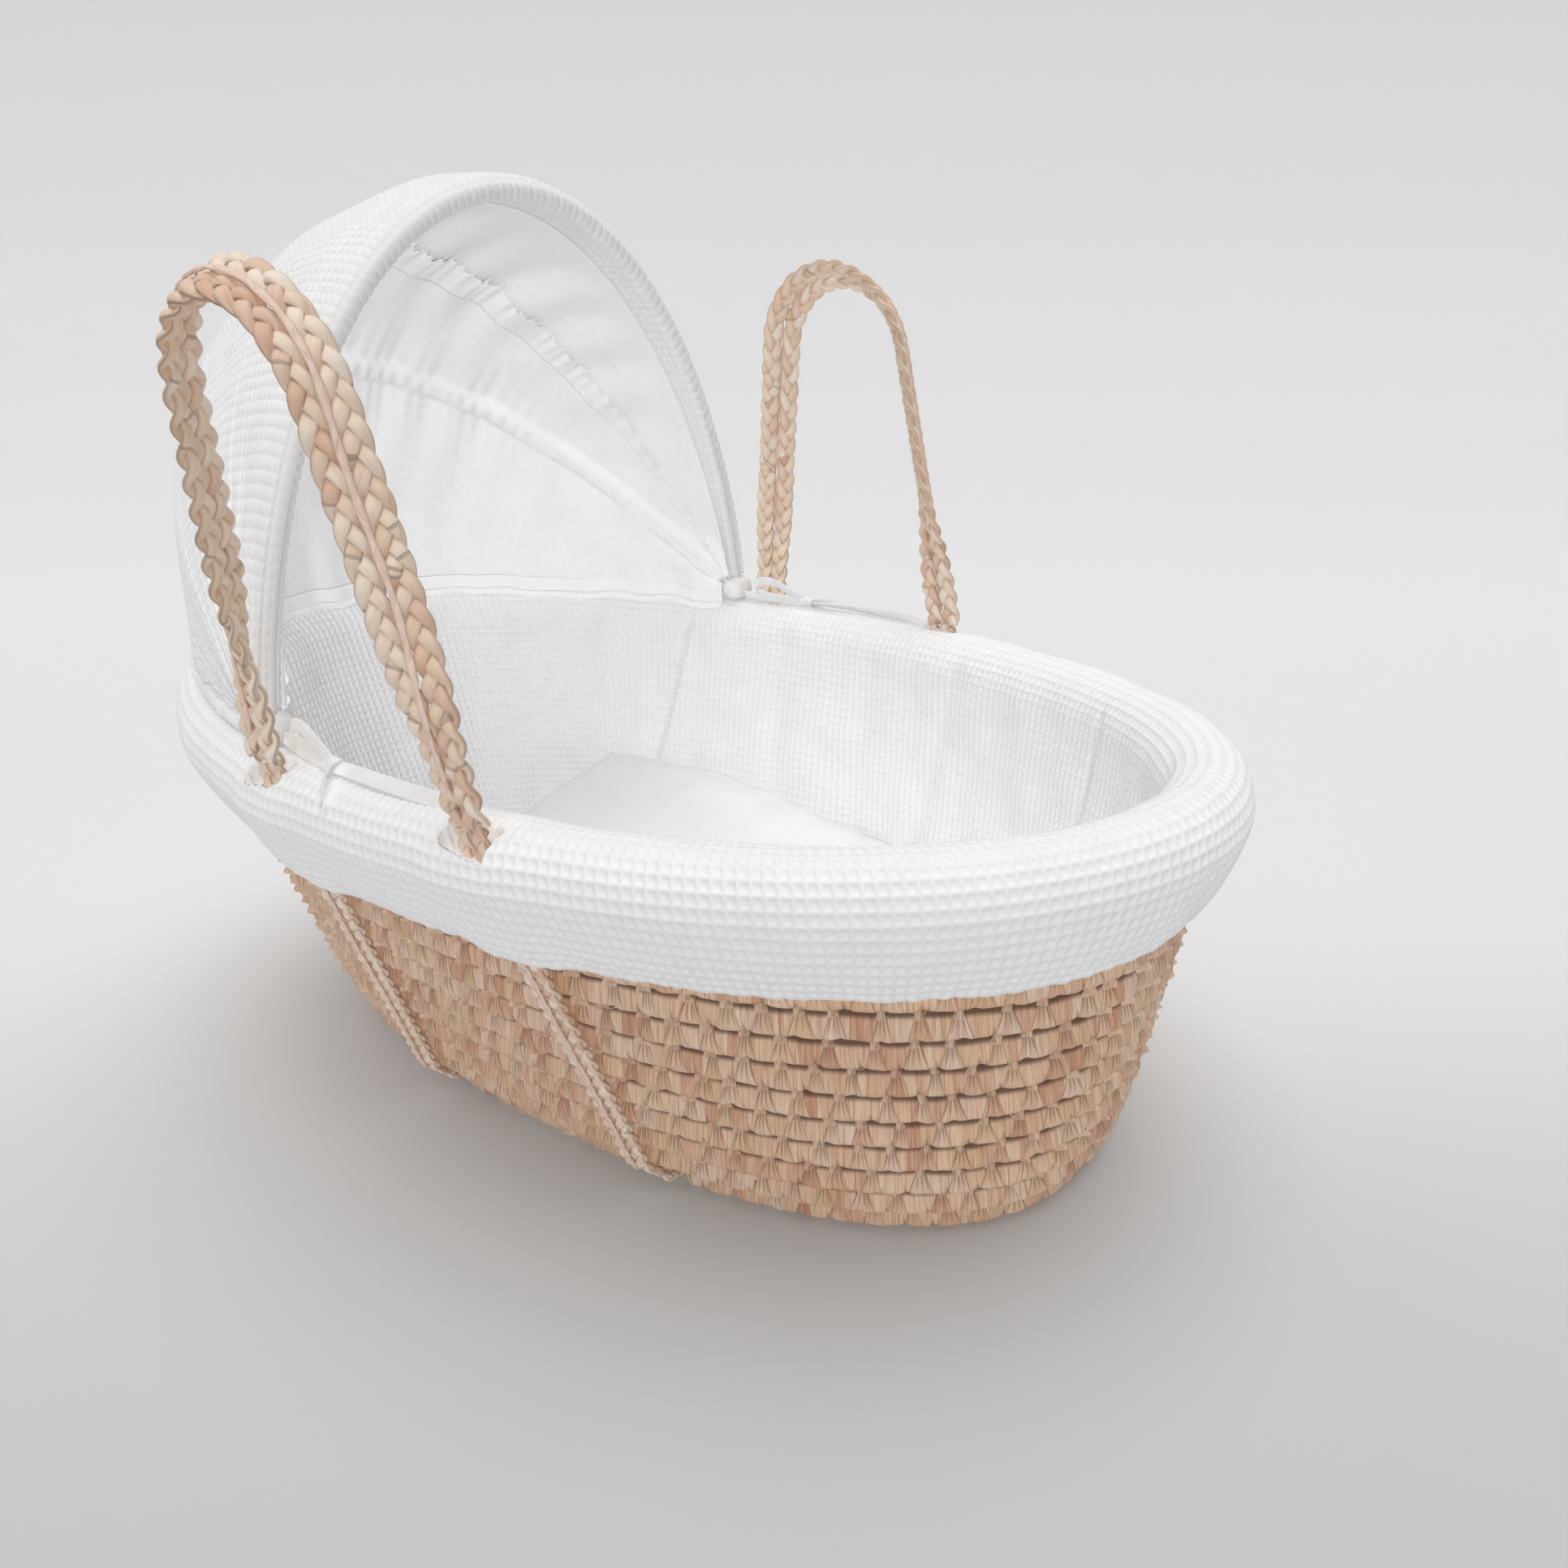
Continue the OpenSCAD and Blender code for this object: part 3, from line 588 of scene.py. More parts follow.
def coil_row(pile, off, z_mid, cols, sides, row, under=False):
    """One husk-wrapped coil. under turns its outer face down, for the floor's rings."""
    p, out_dir, s, length = outline(off, max(z_mid, 0), cols)
    turns = s / length
    t = np.linspace(0, 1, sides)
    face = through(COIL_FACE, sides)
    places, n = stitch_places(row, length)
    below, _ = stitch_places(row - 1, length)
    rng = np.random.default_rng(300 + row)
    spread = rng.uniform(0.75, 1.2, n)
    gap, which = nearest(places, turns)
    gap = gap * length
    gap_below = nearest(below, turns)[0] * length
    half = (1.7 + 5.8 * smooth((t[None, :] - 0.06) / 0.9)) * spread[which][:, None]
    bx = gap[:, None] / half
    inside = 1 - np.abs(bx)
    fan = smooth(inside / 0.16)
    dart_half = 1.6 + 9.0 * (1 - t[None, :])
    dart_x = gap_below[:, None] / dart_half
    dart = smooth(1.15 - np.abs(dart_x)) * smooth((t[None, :] - 0.42) / 0.3)
    pinch = np.exp(-(gap[:, None] / 3.4) ** 2) * smooth((0.42 - t) / 0.42)[None, :]
    lift = np.exp(-(gap_below[:, None] / 2.6) ** 2) * smooth((t - 0.5) / 0.35)[None, :]
    low = smooth((t - 0.5) / 0.5)[None, :]
    lump = field(s[:, None] + row * 91.0, t[None, :] * 20, 9.0, 700 + row)
    out = face[None, :, 0] + 0.35 * waves(turns, 20, 70, 500 + row)[:, None] + 0.3 * lump
    up = face[None, :, 1] + 0.22 * low * waves(turns, 60, 150, 800 + row)[:, None]
    out = out + 0.7 * fan * (smooth(t * 6) * (1 - 0.7 * smooth((t - 0.4) / 0.5)))[None, :] - 1.0 * pinch - 2.0 * lift
    up = up + 0.4 * lift
    if under:
        # the floor's rings show their faces below, so the section is turned a quarter
        out, up = up * 0.8, -3.5 - (out + 8) * 0.55
    back = np.array([[-COIL_T, -PITCH / 2 + 1.5], [-COIL_T, PITCH / 2 - 1.5]])
    out = np.concatenate([out, np.broadcast_to(back[:, 0], (cols, 2))], 1)
    up = np.concatenate([up, np.broadcast_to(back[:, 1], (cols, 2))], 1)
    m = sides + 2
    x = p[:, :1] + out_dir[:, :1] * out
    y = p[:, 1:] + out_dir[:, 1:] * out
    z = strap_channel(x, np.maximum(z_mid + up, 0.3))
    tt = np.concatenate([t, [1.0, 0.0]])
    fib = np.stack(np.broadcast_arrays(s[:, None], tt[None, :] * 24, float(row)), -1)
    pad = [(0, 0), (0, 2)]
    bell = np.stack([np.pad(bx, pad, constant_values=4), np.pad(inside, pad, constant_values=-4),
                     np.broadcast_to((which + 1000.0 * row)[:, None], (cols, m))], -1)
    patch = np.pad(sheet_count(turns, length, t, 900 + row), pad, mode="edge")
    darts = np.stack([np.pad(dart_x, pad), np.pad(dart, pad), np.zeros((cols, m))], -1)
    # the last column repeats the first, so that places along the row don't jump back inside a face
    verts = np.stack([x, y, z], -1)
    fib, bell, patch, darts, verts = (np.concatenate([v, v[:1]], 0) for v in (fib, bell, patch, darts, verts))
    fib[-1, :, 0] += length
    patch[-1] += round(length / 13.5)
    pile.add(verts, [grid_quads(cols + 1, m, wrap_cols=True)],
             {"fib": fib.reshape(-1, 3), "bell": bell.reshape(-1, 3), "patch": patch.reshape(-1),
              "dart": darts.reshape(-1, 3)})
    return places, p, out_dir, z_mid


def knots(pile, row, places, p, out_dir, z_mid):
    """The pinched end of each stitch's fan, in the groove above the coil."""
    rng = np.random.default_rng(1200 + row)
    rows_v, cols_v = 9, 11
    v = np.linspace(0, 1, rows_v)
    u = np.linspace(-1, 1, cols_v)
    half = np.interp(v, [0, 0.2, 0.4, 0.6, 1], [3.4, 2.2, 1.7, 2.0, 3.4])
    grow = np.interp(v, [0, 0.12, 0.35, 0.5, 0.7, 1], [1.5, 8.2, 9.6, 8.6, 4.4, 1.2])
    round_out = np.sqrt(np.clip(1 - (u * 0.98) ** 2, 0, 1))
    for i, place in enumerate(places):
        c = int(place * len(p)) % len(p)
        side_dir = np.array([-out_dir[c, 1], out_dir[c, 0]])
        size = rng.uniform(0.85, 1.2)
        lean = rng.uniform(-1.2, 1.2)
        pleat = 0.3 * np.sin(u * 9 + rng.random() * 6)[None, :] * smooth(v * 3)[:, None]
        out = -2.6 + grow[:, None] * round_out[None, :] * (0.8 + 0.2 * size) + pleat
        x_side = half[:, None] * u[None, :] * size + lean * (v[:, None] - 0.4)
        z = z_mid + 13.0 - 9.5 * v[:, None] * size + 0 * u[None, :]
        x = p[c, 0] + out_dir[c, 0] * out + side_dir[0] * x_side
        y = p[c, 1] + out_dir[c, 1] * out + side_dir[1] * x_side
        verts = np.stack([x, y, z], -1).reshape(-1, 3)
        count = len(verts)
        fib = np.stack(np.broadcast_arrays(i * 21 + half[:, None] * u[None, :] * 1.8, 12 + v[:, None] * 5, row + 0.5), -1)
        bell = np.stack(np.broadcast_arrays(u[None, :] * 0.8, 0.5 + 0 * v[:, None], i + 1000.0 * row), -1)
        pile.add(verts, [grid_quads(rows_v, cols_v)[:, ::-1]],
                 {"fib": fib.reshape(-1, 3), "bell": bell.reshape(-1, 3), "patch": np.full(count, 0.5),
                  "dart": np.tile([0.0, 0.0, 1.0], (count, 1))})


def stray_fibres():
    """A few loose ends of husk curling out of the stitches."""
    pile = Pile()
    rng = np.random.default_rng(1500)
    for _ in range(130):
        a = rng.random() * TAU
        z = (rng.integers(1, 10) + 0.05) * PITCH
        bend, reach, rise_up = rng.uniform(-0.035, 0.035), rng.uniform(2.5, 6.5), rng.uniform(-4, 5)
        line = []
        for t in np.linspace(0, 1, 9):
            x, y = oval(np.array(a + bend * t), -2.0 + reach * math.sin(t * 2.2), z)
            line.append([float(x), float(y), z + rise_up * t * t])
        line = np.array(line)
        tangent = unit(np.gradient(line, axis=0))
        side = unit(np.cross(tangent, [0.2, 0.1, 1.0]))
        thin = np.linspace(0.5, 0.12, 9)
        verts, faces, fib = tube(line, side, np.cross(tangent, side), thin, thin * 0.6, 6)
        pile.add(verts, faces, {"fib": fib})
    return pile


def build_basket():
    shown_rows = 10
    for row in range(ROWS):
        z_mid = (row + 0.5) * PITCH
        off = -TUCK[row] if row < len(TUCK) else 0.0
        seen = row < shown_rows
        pile = Pile()
        data = coil_row(pile, off, z_mid, 1760 if seen else 800, 20 if seen else 13, row)
        if seen or row == ROWS - 1:
            knots(pile, row, *data)
        node = "rim_coil" if row == ROWS - 1 else "wall_coil"
        pile.make(f"coil_row_{row + 1:02d}", HUSK, "husk", replaces=(node,), body="basket")
    stray_fibres().make("stray_fibres", STRAND, "husk_strand", body="basket")
    pile = Pile()
    ring_gap = COIL_T + 2
    first = base_high[0] - BASE_L - COIL_T / 2
    for k in range(8):
        off = first + 8 - k * ring_gap
        if BASE_W + off < 6:
            break
        coil_row(pile, off, 8.2, max(int(760 - 90 * k), 200), 13, 20 + k, under=True)
    pile.make("floor_coils", HUSK, "husk", replaces=("base_coil",), body="basket")


# ---------- plaits ----------
def plait(pile, path, side_dir, depth_dir, lobe, seed, size=1.0, flat=1.0):
    """Three flat husk strands plaited along path."""
    rng = np.random.default_rng(seed)
    s = along(path)
    lateral, dip = (2.6 + 0.75 * (flat == 1)) * size, 1.95 * size * flat
    # edge marks each strand's side edges, for the painted shade where the strands meet
    edge = np.tile(np.abs(np.cos(np.arange(14) / 14 * TAU)) ** 8, len(path))
    for k in range(3):
        phase = TAU * s / (3 * lobe) + TAU * k / 3 + seed * 1.7
        wobble = 0.18 * np.cos(TAU * s / 47 + k * 2 + seed)
        centre = path + side_dir * (lateral * np.sin(phase) + wobble)[:, None] \
            + depth_dir * (dip * np.sin(2 * phase))[:, None]
        tangent = unit(np.gradient(centre, axis=0))
        normal = unit(depth_dir - tangent * np.sum(depth_dir * tangent, 1)[:, None])
        width_dir = np.cross(tangent, normal)
        swell = 1 + 0.1 * np.cos(2 * phase + 0.6) + 0.05 * np.cos(TAU * s / 31 + k)
        verts, faces, fib = tube(centre, width_dir, normal, (3.3 - 0.35 * (flat == 1)) * swell * size, 1.8 * swell * size * flat, 14, 0.85,
                                 0.045)
        cuts = np.sort(rng.uniform(0, max(s[-1], 1), int(s[-1] / 55) + 1))
        part = np.searchsorted(cuts, s)
        tones = rng.random(len(cuts) + 1)
        fib[:, 2] = seed * 3 + k + np.repeat(part, 14) * 17
        pile.add(verts, faces, {"fib": fib, "tone": np.repeat(tones[part], 14), "edge": edge})


def seam_strand(pile, path, side_dir, depth_dir, seed):
    s = along(path)
    lift = 0.25 * np.cos(TAU * s / 9.0)
    verts, faces, fib = tube(path + depth_dir * lift[:, None], side_dir, depth_dir,
                             1.75 + 0.3 * np.cos(TAU * s / 23 + seed), 0.75, 10, 0.75, 0.05)
    fib[:, 2] = seed
    pile.add(verts, faces, {"fib": fib})


def pair_of_plaits(path, side_dir, depth_dir, lobe, seed, size=1.0, flat=1.0):
    pile = Pile()
    for k in (-1, 1):
        plait(pile, path + side_dir * (k * PLAIT_GAP * size), side_dir, depth_dir, lobe, seed + k + 1, size, flat)
    return pile


def strap_line(side, end):
    """Down the outside of the wall from the slit in the roll, and in under the floor."""
    def at(z, out, spread_z=None):
        x = FOOT_X + STRAP_SPREAD * (1 - min(z, WALL_H) / WALL_H)
        return [end * x, side * (oval_y(x, min(z, WALL_H)) + out), z if spread_z is None else spread_z]
    points = [at(ROLL_TOP, STRAP_OFF)] + [at(z, STRAP_OFF) for z in np.linspace(WALL_H, 1.3 * PITCH, 9)]
    points += [at(0, STRAP_OFF - 3.2, 0.72 * PITCH), at(0, STRAP_OFF - 7, 0.42 * PITCH),
               at(0, STRAP_OFF - 12, PLAIT_T + 0.8), at(0, STRAP_OFF - 22, PLAIT_T + 0.5)]
    return through(points, 300)


def build_straps():
    seams = Pile()
    for side, side_name in ((-1, "near"), (1, "far")):
        for end, end_name in ((-1, "head"), (1, "foot")):
            path = strap_line(side, end)
            tangent = unit(np.gradient(path, axis=0))
            across = unit(np.array([1.0, 0, 0]) - tangent * tangent[:, :1])
            outward = np.cross(tangent, across) * side
            if outward[10, 1] * side < 0:
                outward = -outward
            seed = 10 + side * 3 + end
            path = path - outward * PLAIT_SINK
            pile = pair_of_plaits(path, across, outward, 8.8, seed, 1.0, 0.72)
            name = f"strap_{side_name}_{end_name}"
            pile.make(name, PLAIT, "husk_plait", replaces=(name,), body="basket")
            keep = slice(60, 262)
            sway = 0.5 * np.cos(along(path) / 14.0)
            line = path + outward * 3.3 + across * sway[:, None]
            seam_strand(seams, line[keep], across[keep], outward[keep], seed)
    seams.make("strap_seams", STRAND, "husk_strand", replaces=("strap_seams",), body="basket")
    for end, end_name in ((-1, "head"), (1, "foot")):
        x = end * (FOOT_X + STRAP_SPREAD)
        reach = oval_y(x, 0) + STRAP_OFF - 20
        path = np.stack([np.full(200, x), np.linspace(-reach, reach, 200), np.full(200, PLAIT_T + 0.5)], 1)
        across, down = np.tile([1.0, 0, 0], (200, 1)), np.tile([0, 0, -1.0], (200, 1))
        pile = pair_of_plaits(path, across, down, 8.8, 30 + end)
        name = f"strap_base_{end_name}"
        pile.make(name, PLAIT, "husk_plait", replaces=(name,), body="basket")


def handle_line(side):
    """Centre line of a handle with its two legs and arch, and the directions across and through it."""
    foot = np.array([FOOT_X, 0, HANDLE_PIVOT[2]])
    leg = (FOOT_X - ARCH_R * math.cos(LEAN)) / math.sin(LEAN)
    up = np.array([-math.sin(LEAN), 0, math.cos(LEAN)])
    centre_z = foot[2] + leg * math.cos(LEAN) - ARCH_R * math.sin(LEAN)
    arch = [[ARCH_R * math.cos(a), 0, centre_z + ARCH_R * math.sin(a)]
            for a in np.linspace(LEAN, math.pi - LEAN, 60)]
    start = foot - up * 5
    half = np.array([start + (arch[0] - start) * t for t in np.linspace(0, 1, 60)[:-1]])
    points = np.vstack([half, arch, half[::-1] * [-1, 1, 1]])
    path = even(points, 420)
    path[:, 1] = side * HANDLE_PIVOT[1]
    tangent = unit(np.gradient(path, axis=0))
    outer = np.stack([tangent[:, 2], np.zeros(len(path)), -tangent[:, 0]], 1)
    inward = np.tile([0, -side, 0], (len(path), 1)).astype(float)
    s = along(path)
    from_foot = np.minimum(s, s[-1] - s)
    twist = math.radians(58) * smooth((from_foot - 18) / 95)
    across = outer * np.cos(twist)[:, None] + inward * np.sin(twist)[:, None]
    through_dir = np.cross(tangent, across)
    return path, across, through_dir, s


def build_handles():
    for side, name in ((-1, "near"), (1, "far")):
        path, across, depth, s = handle_line(side)
        pile = pair_of_plaits(path, across, depth, 13.0, 50 + side, 1.14)
        piece = pile.make(f"handle_{name}", PLAIT, "husk_plait",
                          replaces=(f"handle_{name}_root", f"handle_{name}_loop"))
        seams = Pile()
        keep = slice(14, -14)
        line = path + depth * (side * (PLAIT_T - 0.4)) + across * (0.6 * np.cos(s / 17.0))[:, None]
        seam_strand(seams, line[keep], across[keep], depth[keep], 60 + side)
        seam = seams.make(f"handle_{name}_seam", STRAND, "husk_strand", replaces=(f"handle_{name}_seam",))
        for part in (piece, seam):
            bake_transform(part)


# ---------- liner ----------
CELLS = 311
CELL_OUT, CELL_IN = 7.3, 5.9
PER_CELL = 5
RELIEF = 1.0
RIDGE = 7
LINER_BACK = -COIL_T - STEP_OUT - 0.8
LINER_FACE = LINER_BACK - 12.0
SKIRT_BACK = STEP_OUT + 0.8
# Section of the cloth from under the skirt's hem, over the roll and down to the mattress:
# offset from the wall's outer face, height, share of the room left for the straps
SECTION = [(SKIRT_BACK + 0.6, SKIRT_Z - 0.4, 1), (SKIRT_BACK + 2.6, SKIRT_Z - 1.6, 1),
           (SKIRT_BACK + 5.2, SKIRT_Z + 0.4, 1), (SKIRT_BACK + 8.2, SKIRT_Z + 6, 0.95),
           (SKIRT_BACK + 12.2, SKIRT_Z + 15, 0.75), (18.8, SKIRT_Z + 28, 0.55), (20.8, SKIRT_Z + 43, 0.35),
           (20.6, SKIRT_Z + 54, 0.35), (17.6, SKIRT_Z + 65, 0.25), (11.0, SKIRT_Z + 73.5, 0.1),
           (1.0, ROLL_TOP - 0.2, 0), (-11.0, ROLL_TOP - 0.6, 0), (-22.5, ROLL_TOP - 6, 0),
           (-30.3, ROLL_TOP - 15, 0), (-33.6, ROLL_TOP - 26, 0), (-33.2, ROLL_TOP - 38, 0),
           (-32.4, ROLL_TOP - 60, 0), (-32.0, ROLL_TOP - 95, 0), (-31.9, ROLL_TOP - 140, 0),
           (-32.0, 78.0, 0)]
# Sewn lines down the inner wall: x at the rim and at the mattress, side, depth, half width
SEAMS = [(-133, -172, 1, 2.4, 2.6), (-215, -222, 1, 2.4, 9.0), (-126, -131, 1, 2.0, 8.0), (-46, -50, 1, 2.6, 11.0),
         (40, 34, 1, 1.8, 12.0), (122, 92, 1, 3.0, 9.0), (262, 238, 1, 2.2, 3.2),
         (-230, -240, -1, 3.4, 8.0), (-120, -128, -1, 2.6, 10.0), (-30, -36, -1, 2.4, 11.0),
         (70, 60, -1, 2.8, 10.0), (170, 156, -1, 3.2, 9.0), (258, 240, -1, 4.0, 5.0),
         (-318, -300, 1, 3.2, 8.0), (-318, -300, -1, 3.2, 8.0), (340, 310, 1, 2.6, 8.0), (338, 308, -1, 2.6, 8.0)]


def strap_room(x):
    bulge = 6.8
    return bulge * smooth((STRAP_HALF + 30 - np.abs(np.abs(x) - FOOT_X - 3)) / 30)


def liner_section():
    """Evenly spaced rows along the cloth's section, in cells: (offset, height, strap share, rows in cells)."""
    fine = through(SECTION, 4000)
    s = along(fine[:, :2])
    crest = s[np.argmax(fine[:, 1])]
    size = CELL_OUT + (CELL_IN - CELL_OUT) * smooth((s - crest + 10) / 45)
    cells = np.concatenate([[0], np.cumsum(np.diff(s) / ((size[1:] + size[:-1]) / 2))])
    rows = int(cells[-1] * PER_CELL)
    want = np.arange(rows + 1) / PER_CELL
    return np.stack([np.interp(want, cells, c) for c in (*fine.T, s)], 1), want, crest


def seam_depth(x, y, z, inner):
    """How far the sewn valleys pull the inner wall in, and the puff between them; also crease, the painted shade along
    the seams and where the bedding meets the wall.
    """
    share = np.clip((WALL_H + 10 - z) / 150, 0, 1)
    total, crease = np.zeros_like(x), np.zeros_like(x)
    for top, foot, side, depth, half in SEAMS:
        at = top + (foot - top) * share
        near = np.exp(-((x - at) / half) ** 2) * (y * side > 0)
        total = total - depth * near * inner
        tight = 0.3 * depth / half * np.exp(-((x - at) / 16) ** 2) * (y * side > 0)
        total = total + tight * np.cos(TAU * z / 13 + x * 0.12) * inner
        # painted shade: dark lines in the narrow seams, a band low on the inner wall where the bedding meets it, and
        # faint shade in the wide valleys
        crease = np.maximum(crease, np.exp(-((x - at) / 2.2) ** 2) * (y * side > 0) * inner * (half < 4))
        crease = np.maximum(crease, 0.22 * smooth((152 - z) / 34) * inner)
        crease = np.maximum(crease, 0.12 * np.exp(-((x - at) / half) ** 2) * (y * side > 0) * inner * (half >= 4))
    return total, crease


def slit_drop(x, y):
    """The slits where the handle legs come up: the cloth turns down round each leg."""
    dx = np.abs(np.abs(x) - FOOT_X) - (STRAP_HALF + 0.6)
    dy = np.abs(np.abs(y) - HANDLE_PIVOT[1]) - (PLAIT_T + 1.0)
    outside = np.sqrt(np.maximum(dx, 0) ** 2 + np.maximum(dy, 0) ** 2)
    return 13.0 * smooth(1 - outside / 2.6) + 1.6 * smooth(1 - outside / 16)


def waffle_pits(u, v):
    """1 in the pits between the raised threads and 0 on the threads, at whole numbers of u and v."""
    return (1 - np.abs(np.cos(np.pi * u)) ** RIDGE) * (1 - np.abs(np.cos(np.pi * v)) ** RIDGE)


def liner_surface():
    section, cell_rows, crest = liner_section()
    cols = CELLS * PER_CELL
    a, length = even_angles(10.0, WALL_H, cols)
    turns = np.arange(cols) / cols
    off, z0, share, s = (section[:, i][:, None] for i in range(4))
    x, y = oval(a[None, :], off, z0)
    room = share * strap_room(x)
    x, y = oval(a[None, :], off + room, z0)
    z = z0 + rise(x, z0)
    p = np.stack([x, y, z], -1)

    def surface_normals(q):
        du = np.roll(q, -1, 1) - np.roll(q, 1, 1)
        dv = np.gradient(q, axis=0)
        return unit(np.cross(du, dv))
    normal = surface_normals(p)
    from_hem = s
    past = smooth((s - crest - 12) / 30)
    around = turns[None, :] * length
    puff = 0.9 * field(around, s, 70, 21) + 0.45 * field(around, s, 28, 22)
    pucker = np.exp(-from_hem / 12) * (0.42 * waves(turns, 90, 170, 23) + 0.25 * waves(turns, 200, 320, 24))[None, :]
    wall, crease = seam_depth(x, y, z, past)
    pull = past * (0.5 * field(around * 1.0, s * 0.35, 22, 25))
    mitre = mitre_depth(x, y, z, past)
    shift = puff * (0.45 + 0.55 * past) + pucker + wall + pull + mitre
    p = p + normal * shift[..., None]
    drop = slit_drop(p[..., 0], p[..., 1]) * smooth((p[..., 2] - 225) / 25)
    p[..., 2] -= drop
    p[..., 2] += np.exp(-from_hem / 10) * 0.7 * waves(turns, 14, 40, 26)[None, :]
    normal = surface_normals(p)
    weave_on = smooth((cell_rows - 1.0) / 0.35)[:, None] * np.ones((1, cols))
    u = np.arange(cols)[None, :] / PER_CELL + 0.13 * waves(turns, 3, 14, 27)[None, :] * 0
    v = cell_rows[:, None] + 0 * u
    p = p - normal * (waffle_pits(u, v) * RELIEF * weave_on)[..., None]
    weave = np.stack(np.broadcast_arrays(u, v, weave_on), -1)
    normal = surface_normals(p)
    return p, normal, weave, cell_rows, a, section, crease


def mitre_depth(x, y, z, past):
    """The cover's two halves are sewn together across the roll at each end."""
    at = -22 - (z - 235) * 0.45
    line = np.exp(-((y - at) / 1.6) ** 2) * (np.abs(x) > 300)
    round_it = np.exp(-((y - at) / 9.0) ** 2) * (np.abs(x) > 300)
    return (-0.8 * line - 0.4 * round_it) * (1 - past)


def liner_piece(name, data, row_from, row_to, col_from, col_to, back, node_names, material=None, wrap=False):
    """Part of the cloth as a closed piece: its face, and a plain back at the given section points."""
    p, normal, weave, cell_rows, a, section, crease = data
    total = p.shape[1]
    cols = np.arange(col_from, col_to + 1) % total
    rows = slice(row_from, row_to + 1)
    face = p[rows][:, cols]
    backs = []
    for b_off, b_z in back:
        bx, by = oval(a[cols], b_off, b_z)
        backs.append(np.stack([bx, by, np.full(len(cols), b_z) + rise(bx, b_z)], -1))
    back_points = np.stack(backs, 0)
    verts = np.concatenate([face, back_points], 0)
    r, c = verts.shape[:2]
    normals = np.concatenate([normal[rows][:, cols], -normal[rows][:, cols][[-1] * len(backs)]], 0)
    spans = weave[rows][:, cols].copy()
    spans[..., 0] = (np.arange(col_from, col_to + 1) / PER_CELL)[None, :]
    spans = np.concatenate([spans, np.repeat(spans[-1:], len(backs), 0) * [1, 1, 0]], 0)
    # creases carries the painted shade of the face; the back gets none
    creases = np.concatenate([crease[rows][:, cols], np.zeros((len(backs), c))], 0)
    faces = [grid_quads(r, c, wrap_rows=True)]
    if not wrap:
        ends = np.arange(r) * c
        faces += [ends[None, :], (ends + c - 1)[None, ::-1]]
    return make(name, verts, faces, material or WAFFLE, "waffle_cloth" if material is None else "plain_cloth",
                replaces=node_names, body="basket",
                values={"weave": spans.reshape(-1, 3), "crease": creases.ravel()},
                normals=normals.reshape(-1, 3))


def column_at(data, row, x, side):
    """The column of the cloth grid nearest to x on one side, at a row."""
    p = data[0][row]
    score = np.abs(p[:, 0] - x) + 1e6 * (p[:, 1] * side < 0)
    return int(np.argmin(score))


def build_liner():
    data = liner_surface()
    p, normal, weave, cell_rows, a, section, crease = data
    z = section[:, 1]
    s = section[:, 3]
    crest = s[np.argmax(z)]
    rising = s < crest
    hem = int(np.argmax(rising & (z > SKIRT_Z + 0.5) & (s > 6)))
    skirt = int(np.argmax(rising & (z > WALL_H - 6)))
    roll = int(np.argmax(~rising & (z < WALL_H - 8)))
    last = len(z) - 1
    cols = p.shape[1]
    half = cols // 2
    liner_piece("hem_elastic", data, 0, hem, 0, cols, [(SKIRT_BACK, SKIRT_Z)], ("hem_elastic",), PLAIN, wrap=True)
    for name, start in (("far", 0), ("near", half)):
        stop = start + half if start == 0 else cols
        liner_piece(f"skirt_{name}", data, hem, skirt, start, stop,
                    [(SKIRT_BACK, WALL_H - 7), (SKIRT_BACK, SKIRT_Z + 2)], ("liner_skirt",))
        liner_piece(f"rim_roll_{name}", data, skirt, roll, start, stop,
                    [(LINER_BACK + 1.4, WALL_H + 1), (SKIRT_BACK, WALL_H + 1)], ("rim_padding",))
    foot_far = column_at(data, roll, 262, 1)
    head_far = column_at(data, roll, -133, 1)
    head_near = column_at(data, roll, -230, -1)
    foot_near = column_at(data, roll, 258, -1)
    panels = [("far", foot_far, head_far), ("head", head_far, head_near), ("near", head_near, foot_near),
              ("foot", foot_near - cols, foot_far)]
    for name, start, stop in panels:
        liner_piece(f"inner_wall_{name}", data, roll, last, start, stop,
                    [(LINER_FACE, 17.5), (LINER_BACK, 17.5), (LINER_BACK, WALL_H - 13)], ("liner_wall",))


